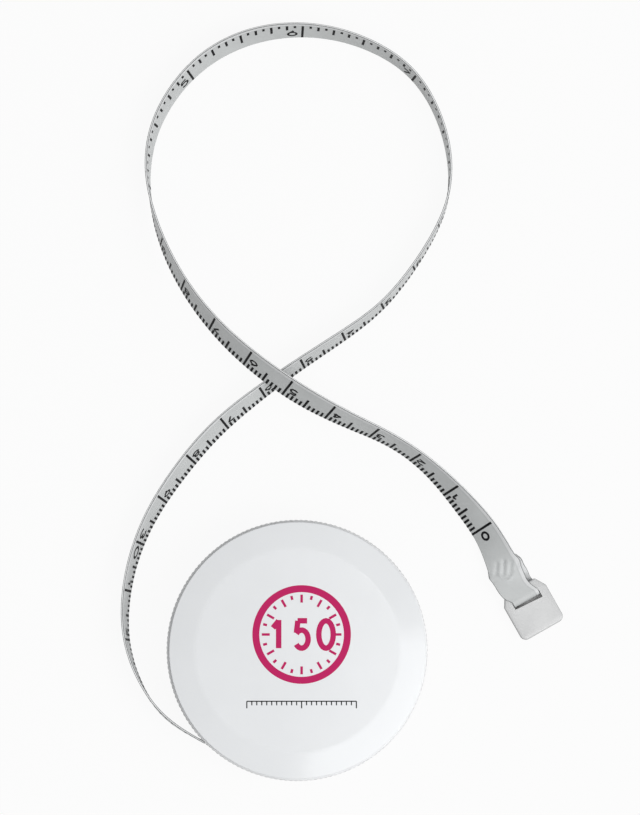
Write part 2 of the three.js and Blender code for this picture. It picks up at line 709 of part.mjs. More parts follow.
function reelDrum() {
  const seat = drumRadius - flangeSeatDepth;
  const bushHole = arborUpperRadius + runGap + bushWall + fitGap;
  const drum = turned([
    [bushHole, webBottom], [chamberRadius, webBottom], [chamberRadius, reelBottom],
    [flangeRadius, reelBottom], [flangeRadius, reelBottom + flangeThickness],
    [drumRadius, reelBottom + flangeThickness], [drumRadius, upperFlangeBottom - seatGap],
    [seat, upperFlangeBottom - seatGap], [seat, reelTop], [chamberRadius, reelTop],
    [chamberRadius, webTop], [bushHole, webTop],
  ], reelSegments);
  const grooveDepth = hookLength + hookSlack + overrun;
  const groove = box(grooveDepth, mainspringGroove, mainspringWidth + 2 * hookSlack);
  groove.translate(chamberRadius + hookLength + hookSlack - grooveDepth / 2, 0, mainspringMiddle);
  groove.rotateZ(mainspringStart + innerBend + outerBend + mainspringTurns * 2 * Math.PI);
  return cut(drum, groove, rivetHole(2 * (drumWall + windingPitch)));
}

function reelFlange() {
  const inner = drumRadius - flangeSeatDepth + fitGap;
  return flatRing(inner, flangeRadius, upperFlangeBottom, flangeThickness, reelSegments);
}

function springCover() {
  const inner = arborUpperRadius + runGap;
  return flatRing(inner, chamberRadius - fitGap, coverBottom, coverThickness, reelSegments);
}

function reelBush() {
  const bore = arborUpperRadius + runGap;
  const barrel = bore + bushWall;
  return turned([
    [bore, webBottom + seatGap], [barrel, webBottom + seatGap], [barrel, webTop + seatGap],
    [barrel + bushFlangeWidth, webTop + seatGap], [barrel + bushFlangeWidth, bushFlangeTop],
    [bore, bushFlangeTop],
  ], smallSegments);
}

// Push cap and brake

function pushCap() {
  const edgeTop = coneEdgeHeight - capEdgeRadius;
  const lean = Math.atan2(capCrownDrop, capRadius - capFlatRadius);
  const edge = Array.from({ length: 4 }, (_, i) => {
    const angle = (1 - i / 3) * (Math.PI / 2 - lean);
    const centre = capRadius - capEdgeRadius;
    return [centre + capEdgeRadius * Math.cos(angle), edgeTop + capEdgeRadius * Math.sin(angle)];
  });
  const underCone = capInside - capCrownDrop;
  const inner = skirtRadius - skirtThickness;
  const cap = turned([
    [0, caseHeight], [capFlatRadius, caseHeight], ...edge,
    [capRadius, capRimBottom], [skirtRadius, capRimBottom], [skirtRadius, skirtBottom],
    [inner, skirtBottom], [inner, underCone], [capFlatRadius, capInside],
    [stemRadius + seatGap, capInside], [stemRadius + seatGap, capInside + stemSeat + seatGap],
    [0, capInside + stemSeat + seatGap],
  ], caseSegments);
  const claws = Array.from({ length: clawCount }, (_, i) => {
    const turn = clawTurn + (i / clawCount) * 2 * Math.PI;
    const bottom = skirtBottom - clawDrop;
    const leg = raised(sector(inner, skirtRadius, turn, clawArc), bottom, skirtBottom + skirtThickness);
    const foot = sector(inner + skirtThickness / 2, skirtRadius + barbWidth, turn, clawArc);
    const barb = raised(foot, bottom, bottom + barbHeight);
    return [leg, barb];
  }).flat();
  return join(cap, ...claws);
}

function crossHole(radius, reach) {
  return closed(new THREE.CylinderGeometry(radius, radius, reach, pinSegments).rotateZ(Math.PI / 2)
    .translate(0, 0, crossPinHeight));
}

function pressStem() {
  const bottom = crossPinHeight - 2 * crossPinRadius;
  const top = capInside + stemSeat;
  const stem = turned([[0, bottom], [stemRadius, bottom], [stemRadius, top], [0, top]], smallSegments);
  return cut(stem, crossHole(crossPinRadius + seatGap, 2 * (stemRadius + overrun)));
}

function brakePlate() {
  const bore = arborLowerRadius + runGap;
  const hub = bore + plateHubWidth;
  const plate = turned([
    [bore, plateBottom], [plateRadius, plateBottom], [plateRadius, plateTop],
    [hub, plateTop], [hub, plateTop + plateHubRise], [bore, plateTop + plateHubRise],
  ], reelSegments);
  return cut(plate, crossHole(crossPinRadius + seatGap, 2 * (hub + overrun)));
}

function crossPin() {
  return crossHole(crossPinRadius, 2 * (arborLowerRadius + runGap + plateHubWidth));
}

function brakePad(i) {
  const middle = (i / padCount + 0.25) * 2 * Math.PI;
  return raised(sector(padOuterRadius - padWidth, padOuterRadius, middle, padArc), padBottom, padTop);
}

// End tab, modelled with the axis of its bar's round side on the Y axis and its outer end towards +X

function endTab() {
  const side = tabWidth / 2;
  const far = tabLength - tabBarWidth;
  const half = [
    [-tabBarWidth, side - tabTopChamferWidth], [tabTopChamferLength - tabBarWidth, side],
    [far - tabBottomChamfer, side], [far, side - tabBottomChamfer],
  ];
  const shape = outline([...half, ...half.map(([x, y]) => [x, -y]).reverse()]);
  const settings = {
    depth: tabThickness - 2 * tabEdgeChamfer, bevelEnabled: true, bevelThickness: tabEdgeChamfer,
    bevelSize: tabEdgeChamfer, bevelOffset: -tabEdgeChamfer, bevelSegments: 1, curveSegments: 4,
  };
  const plate = closed(new THREE.ExtrudeGeometry(shape, settings)
    .translate(0, 0, tabEdgeChamfer - tabThickness / 2));
  const slot = box(tabSlotEnd, 2 * tabSlotSide, tabThickness + overrun).translate(tabSlotEnd / 2, 0, 0);
  const bar = closed(new THREE.CylinderGeometry(tabBarRadius, tabBarRadius, tabWidth - tabArmWidth, 20));
  return join(cut(plate, slot), bar);
}

// Assembly

function part(name, geometry, material) {
  const mesh = new THREE.Mesh(geometry, material);
  mesh.name = name;
  return mesh;
}

function gathered(...meshes) {
  const group = new THREE.Group();
  group.add(...meshes);
  return group;
}

const caseGroup = gathered(
  part('body_shell', bodyShell(), shellWhite),
  part('arbor', arbor(), steel),
  part('arbor_lock_ring', lockRing(), springSteel),
  part('arbor_washer', washer(), brass),
  part('arbor_clip', arborClip(), springSteel),
  part('return_spring', returnSpring(), springSteel),
);

const reelGroup = gathered(
  part('reel_drum', reelDrum(), reelPlastic),
  part('reel_flange', reelFlange(), reelPlastic),
  part('spring_cover', springCover(), reelPlastic),
  part('reel_bush', reelBush(), brass),
  part('mainspring', mainspring(), springSteel),
  part('tape_winding', tapeWinding(), tapeCloth),
  part('tape_rivet', tapeRivet(), brass),
);

const pressGroup = gathered(
  part('push_cap', pushCap(), white),
  part('press_stem', pressStem(), steel),
  part('cross_pin', crossPin(), steel),
  part('brake_plate', brakePlate(), reelPlastic),
  ...Array.from({ length: padCount }, (_, i) => part(`brake_pad_${i + 1}`, brakePad(i), rubber)),
);

const tapeGroup = gathered(
  part('tape_run', tapeRun(), tapeCloth),
  part('tape_free', tapeFree(), tapeCloth),
  part('tape_fold', tapeFold(), tapeCloth),     // it swings with the end tab
);

const tabGroup = gathered(part('end_tab', endTab(), tabPlastic));
tabGroup.position.set(...barPoint, tabMiddle);
tabGroup.rotation.z = barHeading;

const tapeMeasure = new THREE.Group();
tapeMeasure.add(caseGroup, reelGroup, pressGroup, tapeGroup, tabGroup);

export default tapeMeasure;
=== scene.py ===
# A round cloth tape measure that lies on its rear face, with a loop of tape drawn out to its end tab.
# Metres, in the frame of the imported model: +Z up, the origin in the middle of the case's rear face.
import json
import math

import bmesh
import bpy
import numpy as np
from mathutils import Matrix, Vector


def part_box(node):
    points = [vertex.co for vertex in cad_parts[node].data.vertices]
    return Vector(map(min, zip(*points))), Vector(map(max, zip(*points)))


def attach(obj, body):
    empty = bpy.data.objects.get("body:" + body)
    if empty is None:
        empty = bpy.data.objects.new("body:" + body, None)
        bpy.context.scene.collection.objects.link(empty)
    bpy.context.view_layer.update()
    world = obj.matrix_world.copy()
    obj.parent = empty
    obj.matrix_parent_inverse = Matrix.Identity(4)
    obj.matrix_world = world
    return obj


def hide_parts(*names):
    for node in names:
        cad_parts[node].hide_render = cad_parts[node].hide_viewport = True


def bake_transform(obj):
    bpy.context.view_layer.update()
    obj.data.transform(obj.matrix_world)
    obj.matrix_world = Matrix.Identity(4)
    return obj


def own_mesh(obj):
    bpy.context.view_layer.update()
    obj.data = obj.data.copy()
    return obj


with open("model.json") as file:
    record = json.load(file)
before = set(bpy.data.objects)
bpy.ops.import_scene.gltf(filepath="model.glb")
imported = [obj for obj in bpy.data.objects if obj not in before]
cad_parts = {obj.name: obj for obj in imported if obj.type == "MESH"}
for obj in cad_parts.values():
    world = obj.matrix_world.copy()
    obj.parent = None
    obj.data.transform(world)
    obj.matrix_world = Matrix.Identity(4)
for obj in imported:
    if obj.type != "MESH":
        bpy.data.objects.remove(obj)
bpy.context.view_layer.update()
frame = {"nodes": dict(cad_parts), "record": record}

# Camera: almost straight above, with the case near the lower edge of an upright picture
CAMERA_PLACE = (-0.0313, 0.0063, 1.2)
CAMERA_TARGET = (0.00487, 0.04927, 0)
VIEW_HEIGHT = 0.16565  # what the picture's height spans at the table
SENSOR_WIDTH = 36  # millimetres, as a lens is given
CLIP_RANGE = (0.1, 100)

# Case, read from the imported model
SHELL_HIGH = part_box("body_shell")[1]
CAP_LOW, CAP_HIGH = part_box("push_cap")
KNURL_RADIUS = SHELL_HIGH.x
SHELL_TOP = SHELL_HIGH.z
CAP_RADIUS = CAP_HIGH.x
CASE_HEIGHT = CAP_HIGH.z
CLAW_BOTTOM = CAP_LOW.z

# Grip shell
KNURL_DEPTH = 0.00013
KNURL_COUNT = 163
KNURL_STEPS = 6  # round each rib
KNURL_FOOT = 0.0011
KNURL_TOP = 0.0097
KNURL_RUNOUT = 0.0004
KNURL_ROUNDING = 0.7  # power that widens the ribs and narrows the grooves
SHELL_WALL = 0.0014
SHELL_FLOOR = 0.0012
SHELL_ROUNDING = 0.0007
LEDGE_WIDTH = 0.0006
LEDGE_HEIGHT = 0.0009
ARBOR_SEAT_RADIUS = 0.0051
ARBOR_SEAT_DEPTH = 0.0008
ARBOR_HOLE_RADIUS = 0.0032
SMALL_FILLET = 0.00015

# Push cap
CAP_CONE_WIDTH = 0.0051
CAP_CROWN_DROP = 0.0007
CAP_CREASE_RADIUS = 0.008
CAP_EDGE_RADIUS = 0.00018
CAP_EDGE_THICKNESS = 0.0008
CAP_THICKNESS = 0.00115
CAP_SEGMENTS = 256
SKIRT_RADIUS = 0.02395
SKIRT_THICKNESS = 0.00055
SKIRT_DEPTH = 0.0012
STEM_SEAT_RADIUS = 0.00155
STEM_SEAT_DEPTH = 0.00065
CLAW_COUNT = 3
CLAW_ARC = math.radians(22)
CLAW_TURN = math.radians(40)
BARB_WIDTH = 0.0005
BARB_HEIGHT = 0.0005

# Tape
TAPE_WIDTH = 0.0066
TAPE_THICKNESS = 0.0004
TAPE_BOTTOM = 0.0023  # of the tape's lower edge inside the case
TAPE_BEVEL = 0.00008
TAPE_SAMPLES = 4000
CORD_GAP = 0.0003  # between neighbouring stretches of tape
CORD_POINTS = 120
MOUTH_INSET = 0.00007
MOUTH_ANGLE = math.radians(-134.54)
MOUTH_HEIGHT = 0.0071
MOUTH_WIDTH = 0.0015
MOUTH_CUT = (0.006, 0.003)  # how far the cut for the mouth goes into the case, and out of it
LEAD_LENGTH = 0.0165  # from the end tab's bar to the zero mark
BAR_NARROWING = 0.0007  # how much narrower the tape is where it goes round the bar
NARROWING_LENGTH = 0.0055  # over which it draws together, and turns square to the bar
HINGE_REACH = 0.0096  # from the bar to the middle of a stretch of the tape whose ends are found but not used
BEND_HALF = 0.003  # half the length of that stretch
END_REACH = 0.0129  # from the bar to where the tape's end starts

# End tab: a plate with a slot, and between the slot and its inner edge the bar that carries the tape
BAR_POINT = (0.04636, 0.01107)
BAR_HEADING = math.radians(-60.5)
TAB_LENGTH = 0.0102
TAB_WIDTH = 0.00974
TAB_THICKNESS = 0.0014
TAB_BAR_RADIUS = TAB_THICKNESS / 2
TAB_BAR_WIDTH = 0.0021  # from the tab's inner edge to the axis of the bar's round side
TAB_SLOT_ENDS = (0.0016, 0.00198)  # from that axis, at the tape's marked edge and at its other one
TAB_SLOT_SIDE = 0.00307
TAB_TOP_CHAMFER = (0.0023, 0.0014)
TAB_ROUNDINGS = (0.0005, 0.0006, 0.0013)  # from its inner corners to its outer ones
FOLD_TABLE_GAP = 0.0001
FOLD_GAP = 0.0001  # between the fold and the bar
FOLD_SLACK = 0.00001  # how far the fold stands out into the slot
TAIL_LENGTH = 0.009
TAIL_DROP = 0.00043  # from the tape's middle plane to the tail's
TAIL_START = 0.0025  # from the bar to where the tail starts to close on the tape above it
TAIL_CLOSED = 0.005
TAB_MIDDLE = FOLD_TABLE_GAP + TAPE_THICKNESS + FOLD_GAP + TAB_BAR_RADIUS
BAR_AHEAD = np.array((math.cos(BAR_HEADING), math.sin(BAR_HEADING), 0))
BAR_LEFT = np.array((-BAR_AHEAD[1], BAR_AHEAD[0], 0))

# Route of the free tape, from the mouth to the end tab's bar. Each point holds x, y, the height of
# the tape's lower edge above the table, and its lean in degrees from standing upright to the left.
ROUTE = [
    (-0.0269, -0.0141, 0.0016, -4), (-0.0319, -0.0067, 0.0009, 2), (-0.0348, 0.0018, 0.0004, 8),
    (-0.0348, 0.0109, 0.0001, 13), (-0.0329, 0.0196, 0, 16), (-0.0294, 0.0278, 0, 21),
    (-0.0238, 0.0362, 0, 26), (-0.0165, 0.0450, 0, 27), (-0.0080, 0.0518, 0, 23), (0.0006, 0.0580, 0, 18),
    (0.0096, 0.0638, 0, 16), (0.0170, 0.0691, 0, 11), (0.0227, 0.0759, 0, 8), (0.0277, 0.0836, 0, 6),
    (0.0313, 0.0917, 0, 3), (0.0314, 0.1009, 0, -4), (0.0285, 0.1103, 0, -5), (0.0234, 0.1180, 0, -9),
    (0.0156, 0.1229, 0, -12), (0.0069, 0.1257, 0, -16), (-0.0021, 0.1262, 0, -20),
    (-0.0110, 0.1244, 0, -23), (-0.0191, 0.1200, 0, -22), (-0.0253, 0.1133, 0, -18),
    (-0.0295, 0.1052, 0.0001, -14), (-0.0306, 0.0962, 0.0004, -7), (-0.0290, 0.0873, 0.0014, 4),
    (-0.0259, 0.0789, 0.0029, 12), (-0.0209, 0.0704, 0.0049, 17), (-0.0144, 0.0628, 0.0065, 25),
    (-0.0068, 0.0564, 0.0073, 31), (0.0013, 0.0509, 0.0069, 34), (0.0109, 0.0461, 0.0050, 25),
    (0.0200, 0.0424, 0.0028, 18), (0.0280, 0.0365, 0.0012, 24), (0.0347, 0.0290, 0.0006, 41),
    (0.0387, 0.0239, 0.0008, 48), (0.0412, 0.0187, 0.0012, 60), (0.0428, 0.0153, 0.0019, 87),
    (0.0442, 0.0121, 0.0021, 90),
]


def put(name, data):
    thing = bpy.data.objects.new(name, data)
    bpy.context.scene.collection.objects.link(thing)
    return thing


# Camera

def add_camera():
    data = bpy.data.cameras.new("camera")
    camera = put("camera", data)
    place, target = Vector(CAMERA_PLACE), Vector(CAMERA_TARGET)
    forward = (target - place).normalized()
    right = forward.cross(Vector((0, 1, 0))).normalized()
    up = right.cross(forward)
    turn = Matrix((right, up, -forward)).transposed()
    camera.matrix_world = Matrix.Translation(place) @ turn.to_4x4()
    data.sensor_width = SENSOR_WIDTH
    data.lens = SENSOR_WIDTH * (target - place).length / VIEW_HEIGHT
    data.clip_start, data.clip_end = CLIP_RANGE
    bpy.context.scene.camera = camera


# Meshes
SHARP_ANGLE = math.radians(35)


def make_object(name, points, faces):
    mesh = bpy.data.meshes.new(name)
    mesh.from_pydata([tuple(map(float, p)) for p in points], [], [list(map(int, f)) for f in faces])
    shell = bmesh.new()
    shell.from_mesh(mesh)
    bmesh.ops.recalc_face_normals(shell, faces=shell.faces)
    shell.to_mesh(mesh)
    shell.free()
    mesh.shade_smooth()
    mesh.set_sharp_from_angle(angle=SHARP_ANGLE)
    return put(name, mesh)


def ring_faces(rings, sides, closed_along=False, first=0):
    """Quads between rings that each hold so many points, with a flat face on each open end."""
    faces = []
    for ring in range(rings if closed_along else rings - 1):
        low, high = first + ring * sides, first + (ring + 1) % rings * sides
        for side in range(sides):
            beside = (side + 1) % sides
            faces.append((low + side, low + beside, high + beside, high + side))
    if not closed_along:
        faces.append(tuple(range(first + sides - 1, first - 1, -1)))
        faces.append(tuple(range(first + (rings - 1) * sides, first + rings * sides)))
    return faces


def rounded(corners, steps=6):
    """Points of a closed flat outline whose corners are given as x, y and the radius of their rounding."""
    points = []
    for i, (x, y, radius) in enumerate(corners):
        here = np.array((x, y))
        if radius <= 0:
            points.append(here)
            continue
        before = unit(np.array(corners[i - 1][:2]) - here)
        after = unit(np.array(corners[(i + 1) % len(corners)][:2]) - here)
        half = math.acos(np.clip(before @ after, -1, 1)) / 2
        middle = unit(before + after)
        centre = here + middle * radius / math.sin(half)
        first = here + before * radius / math.tan(half) - centre
        last = here + after * radius / math.tan(half) - centre
        start = math.atan2(first[1], first[0])
        turn = (math.atan2(last[1], last[0]) - start + math.pi) % math.tau - math.pi
        for angle in np.linspace(start, start + turn, steps + 1):
            points.append(centre + radius * np.array((math.cos(angle), math.sin(angle))))
    return points


def turned(name, profile, segments, swell=None):
    """A profile of radius and height turned about Z, which closes on itself or ends on the axis."""
    angles = np.linspace(0, math.tau, segments, endpoint=False)
    on_axis = profile[0][0] == 0
    rows = profile[1:-1] if on_axis else profile
    points = []
    for radius, height in rows:
        reach = radius + (swell(angles, radius, height) if swell else 0 * angles)
        points += zip(reach * np.cos(angles), reach * np.sin(angles), np.full(segments, height))
    faces = ring_faces(len(rows), segments, closed_along=not on_axis)
    if on_axis:
        faces = faces[:-2]
        for end, row in ((profile[0], 0), (profile[-1], len(rows) - 1)):
            points.append((0, 0, end[1]))
            tip = len(points) - 1
            ring = [row * segments + i for i in range(segments)]
            faces += [(tip, ring[i], ring[(i + 1) % segments]) for i in range(segments)]
    return make_object(name, points, faces)


def combine(thing, tool, operation):
    """Joins or cuts a closed piece with another one, which is then removed."""
    change = thing.modifiers.new("combine", "BOOLEAN")
    change.object, change.operation, change.solver = tool, operation, "EXACT"
    shape = thing.evaluated_get(bpy.context.evaluated_depsgraph_get())
    mesh = bpy.data.meshes.new_from_object(shape)
    thing.modifiers.clear()
    thing.data = mesh
    mesh.set_sharp_from_angle(angle=SHARP_ANGLE)
    bpy.data.objects.remove(tool)
    return thing


def prism(name, outline, bottom, top):
    """A flat outline of x and y raised from one height to another."""
    points = [(x, y, z) for z in (bottom, top) for x, y in outline]
    return make_object(name, points, ring_faces(2, len(outline)))


def sector(inner, outer, middle, span, steps=12):
    angles = np.linspace(middle - span / 2, middle + span / 2, steps)
    arcs = [(outer, angles), (inner, angles[::-1])]
    return [(radius * math.cos(a), radius * math.sin(a)) for radius, row in arcs for a in row]


def dress(thing, body, slot, material, *nodes):
    """Gives a piece its body and its material, and hides the nodes of the model that it stands for. Its
    slot is not used.
    """
    thing.data.materials.clear()
    thing.data.materials.append(material)
    if body:
        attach(thing, body)
    if nodes:
        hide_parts(*nodes)
    return thing


# Frames of the tape

def unit(rows):
    return rows / np.linalg.norm(rows, axis=-1, keepdims=True)


def b_spline(points, samples):
    place = np.linspace(0, len(points) - 3, samples)
    span = np.minimum(place.astype(int), len(points) - 4)
    u = (place - span)[:, None]
    weights = ((1 - u) ** 3, 3 * u ** 3 - 6 * u ** 2 + 4, -3 * u ** 3 + 3 * u ** 2 + 3 * u + 1, u ** 3)
    return sum(weight * points[span + i] for i, weight in enumerate(weights)) / 6


class Strip:
    """A strip of tape: its middle line with the directions across it, through its thickness, and up it."""

    def __init__(self, middle, across, up):
        self.middle, self.across, self.up = middle, across, up
        steps = np.linalg.norm(np.diff(middle, axis=0), axis=1)
        self.reach = np.concatenate(([0], np.cumsum(steps)))
        self.length = self.reach[-1]

    def from_end(self):
        return self.length - self.reach

    def sample(self, rows, reach):
        return np.stack([np.interp(reach, self.reach, rows[:, k]) for k in range(3)], axis=-1)

    def at(self, reach, height, lift):
        """Points at a distance along the strip, a height up it and a lift out of its middle plane."""
        up, across = self.sample(self.up, reach), self.sample(self.across, reach)
        height, lift = np.asarray(height)[..., None], np.asarray(lift)[..., None]
        return self.sample(self.middle, reach) + up * height + across * lift


def free_strip():
    mouth_radius = KNURL_RADIUS - MOUTH_INSET
    mouth = (mouth_radius * math.cos(MOUTH_ANGLE), mouth_radius * math.sin(MOUTH_ANGLE))
    fold_top = TAB_MIDDLE + TAB_BAR_RADIUS + FOLD_GAP
    points = np.array([(*mouth, TAPE_BOTTOM, 0), *ROUTE, (*BAR_POINT, fold_top, 90)], float)
    points = np.vstack([2 * points[0] - points[1], points, 2 * points[-1] - points[-2]])
    x, y, rise, degrees = b_spline(points, TAPE_SAMPLES).T
    lean = np.radians(degrees)
    height = rise + (TAPE_WIDTH * np.cos(lean) + TAPE_THICKNESS * abs(np.sin(lean))) / 2
    middle = np.stack([x, y, height], axis=1)
    along = unit(np.gradient(middle, axis=0))
    left = unit(np.stack([-along[:, 1], along[:, 0], 0 * x], axis=1))
    over = np.cross(along, left)
    up = left * np.sin(lean)[:, None] + over * np.cos(lean)[:, None]
    from_bar = Strip(middle, up, up).from_end()
    near = smooth_step(1 - from_bar / NARROWING_LENGTH)[:, None]
    up = unit(up * (1 - near) + BAR_LEFT * near)
    return Strip(middle, unit(np.cross(up, along)), up * narrowing(from_bar)[:, None])


def smooth_step(value):
    share = np.clip(value, 0, 1)
    return share * share * (3 - 2 * share)


def narrowing(from_bar):
    """The tape's width at a distance from the bar, as a share of its full width."""
    return 1 - BAR_NARROWING / TAPE_WIDTH * smooth_step(1 - from_bar / NARROWING_LENGTH)


# Tape end: over the bar, through the slot and back under the tape that comes to it
TAIL_RING = 0.0002
TAIL_SHIFTS = [(0, 0), (0.001, 0.0006), (0.002, 0.0011), (0.0053, 0.0008), (0.009, 0)]
LOOP_STEPS = 24
SLACK_END = 0.6  # share of the loop over which the slack comes in


def tail_shift(from_bar):
    """How far the tail lies beside the tape above it."""
    return np.interp(from_bar, *zip(*TAIL_SHIFTS))


def loop_frames():
    """Places and inward directions of the tape round the bar, from its top to its underside."""
    radius = TAB_BAR_RADIUS + FOLD_GAP + TAPE_THICKNESS / 2
    share = np.linspace(0, 1, LOOP_STEPS + 1)[:, None]
    angle = (0.5 - share) * math.pi
    ahead = radius * np.cos(angle) + FOLD_SLACK * smooth_step(share / SLACK_END)
    places = (*BAR_POINT, TAB_MIDDLE) + BAR_AHEAD * ahead + np.array((0, 0, radius)) * np.sin(angle)
    along = unit(np.gradient(places, axis=0))
    return places, np.cross(BAR_LEFT, along)


def whole_strip(free):
    """The free tape with its end. Its bar_distance tells how far from the bar each place lies."""
    places, inward = loop_frames()
    back = np.arange(TAIL_RING, TAIL_LENGTH + TAIL_RING / 2, TAIL_RING)
    closed = smooth_step((back - TAIL_START) / (TAIL_CLOSED - TAIL_START))
    drop = 2 * (TAB_BAR_RADIUS + FOLD_GAP + TAPE_THICKNESS / 2) * (1 - closed) + TAIL_DROP * closed
    reach = free.length - back
    across, up = free.sample(free.across, reach), free.sample(free.up, reach)
    tail = free.sample(free.middle, reach) + across * drop[:, None] + up * tail_shift(back)[:, None]
    wide = np.tile(BAR_LEFT * narrowing(0), (LOOP_STEPS + 1, 1))
    strip = Strip(
        np.vstack([free.middle[:-1], places, tail]),
        np.vstack([free.across[:-1], inward, -across]),
        np.vstack([free.up[:-1], wide, up]),
    )
    strip.bar_distance = np.concatenate([free.from_end(), np.zeros(LOOP_STEPS), back])
    strip.bar_reach = strip.reach[len(free.middle) - 1]
    strip.tail_reach = strip.reach[len(free.middle) + LOOP_STEPS - 1]
    return strip


def tape_rings(strip):
    """Distances along the tape at which the rings of its long stretch lie, and those of its end."""
    split = strip.bar_reach - END_REACH
    coarse = np.arange(CORD_GAP / 2, split, TAPE_RING)
    round_bar = strip.reach[(strip.reach > strip.bar_reach) & (strip.reach <= strip.tail_reach)]
    welded_part = np.arange(split, strip.bar_reach, WELD_RING)
    tail = np.arange(strip.tail_reach + WELD_RING, strip.length, WELD_RING)
    before = np.concatenate([coarse, [split]])
    return before, np.concatenate([welded_part, round_bar, tail, [strip.length]])


# Weld near the end tab: short lobes pressed through both layers, which spread the tape's edges
WELD_REACH = 0.0071  # from the end tab's bar to the weld's middle
LOBE_AXIS = (-0.883, 0.469)  # in the plane of the tape: along it and up it
LOBE_ROW = (0.469, 0.883)
# Each lobe's middle along the row and along the lobes' axis, half its length, and its height
LOBES = [
    (-0.0016, -0.0002, 0.0014, 0.00018), (-0.0002, 0.0003, 0.0017, 0.00025),
    (0.0012, 0.0003, 0.0015, 0.00021), (0.0025, 0.0012, 0.0010, 0.00012),
    (-0.0029, -0.0014, 0.0004, 0.00016), (-0.0018, -0.0027, 0.0003, 0.0001),
]
LOBE_WIDTH = 0.00042
LOBE_END = 0.0009
# Groove round the lower end of the middle lobes
GROOVE_MIDDLE = (0.0004, -0.0011)
GROOVE_RADIUS = 0.0012
GROOVE_WIDTH = 0.00022
GROOVE_DEPTH = 0.00014
GROOVE_START = 0.3  # share of its radius above its middle at which it starts
EDGE_SPREAD = 0.00038
EDGE_SPREAD_LENGTH = 0.0011
EDGE_SPREAD_SHIFT = 0.0006


def weld_press(from_bar, height):
    """How far the weld pushes the tape out of its plane at a point."""
    along = WELD_REACH - from_bar
    long = along * LOBE_AXIS[0] + height * LOBE_AXIS[1]
    short = along * LOBE_ROW[0] + height * LOBE_ROW[1]
    pushed = np.zeros(np.shape(long))
    for row, axis, half, rise in LOBES:
        lobe = np.exp(-((short - row) / LOBE_WIDTH) ** 2)
        ends = smooth_step((half + LOBE_END / 2 - abs(long - axis)) / LOBE_END)
        pushed = np.maximum(pushed, rise * lobe * ends)
    away = np.hypot(short - GROOVE_MIDDLE[0], long - GROOVE_MIDDLE[1]) - GROOVE_RADIUS
    lower = smooth_step((GROOVE_MIDDLE[1] - long) / GROOVE_RADIUS + GROOVE_START)
    return pushed - GROOVE_DEPTH * np.exp(-(away / GROOVE_WIDTH) ** 2) * lower


def weld_spread(from_bar, height):
    """How far the weld pushes the tape's edges outward at a point."""
    middle = WELD_REACH + EDGE_SPREAD_SHIFT * np.sign(height)
    near = np.exp(-((from_bar - middle) / EDGE_SPREAD_LENGTH) ** 2)
    return near * EDGE_SPREAD * (2 * height / TAPE_WIDTH) ** 3


def welded(strip):
    """Moves a point of the tape by the weld, which goes through the tail as through the tape above it."""
    def press(reach, height, lift):
        from_bar = np.interp(reach, strip.reach, strip.bar_distance)
        on_tail = reach > strip.tail_reach
        free = (reach <= strip.bar_reach) | on_tail
        place = height + np.where(on_tail, tail_shift(from_bar), 0)
        pushed = np.where(free, weld_press(from_bar, place), 0)
        spread = np.where(free, weld_spread(from_bar, height), 0)
        return height + spread, lift + np.where(on_tail, -pushed, pushed)
    return press


# Tape
TAPE_RING = 0.001  # between rings of points
WELD_RING = 0.0002  # the same, in the tape's end
TAPE_COLUMNS = 34
INNER_COLUMNS = 4  # where the tape is out of sight


def tape_section(columns=TAPE_COLUMNS):
    """Height and lift of each point round the tape's section, with small bevels on its four corners."""
    half, thick = TAPE_WIDTH / 2, TAPE_THICKNESS / 2
    heights = np.linspace(TAPE_BEVEL - half, half - TAPE_BEVEL, columns + 1)
    section = [(height, -thick) for height in heights]
    section += [(half, TAPE_BEVEL - thick), (half, thick - TAPE_BEVEL)]
    return np.array(section + [(-height, -lift) for height, lift in section])


def note_strip(thing, *notes):
    """Keeps the place along, up and out of the tape at each point, for the material's weave and border."""
    kept = thing.data.attributes.new("strip", "FLOAT_VECTOR", "POINT")
    kept.data.foreach_set("vector", np.stack(notes, axis=-1).astype(np.float32).ravel())


def strip_object(name, strip, reaches, press=None, columns=TAPE_COLUMNS):
    """A solid strip with a ring of points at each of the given distances along it."""
    section = tape_section(columns)
    reach = np.repeat(reaches, len(section))
    height = np.tile(section[:, 0], len(reaches))
    lift = np.tile(section[:, 1], len(reaches))
    placed = strip.at(reach, *(press(reach, height, lift) if press else (height, lift)))
    thing = make_object(name, placed, ring_faces(len(reaches), len(section)))
    note_strip(thing, reach, height, lift)
    return thing


# Tape inside the case
WINDING_INNER = 0.01301
WINDING_PITCH = 0.00082
WINDING_OUTER = 0.02157
WINDING_STEPS = 96  # in each turn
LEAD_STEPS = 60


def level_strip(points):
    """A strip that stands upright on a flat line inside the case."""
    points = np.array(points)
    middle = np.column_stack([points, np.full(len(points), TAPE_BOTTOM + TAPE_WIDTH / 2)])
    along = unit(np.gradient(middle, axis=0))
    across = np.stack([-along[:, 1], along[:, 0], 0 * along[:, 0]], axis=1)
    return Strip(middle, across, np.tile((0.0, 0.0, 1.0), (len(points), 1)))


def wound_strip():
    turns = (WINDING_OUTER - WINDING_INNER) / WINDING_PITCH
    turn = np.linspace(0, turns, int(turns * WINDING_STEPS) + 1)
    end = WINDING_PITCH / WINDING_OUTER - math.pi / 2
    angle = end + (turns - turn) * math.tau
    radius = WINDING_INNER + WINDING_PITCH * turn
    return level_strip(np.column_stack([radius * np.cos(angle), radius * np.sin(angle)]))


def mouth_line(strip):
    """The mouth's place, and the way in which the tape leaves it."""
    mouth = strip.middle[0][:2]
    return mouth, unit(np.array(ROUTE[0][:2]) - mouth)


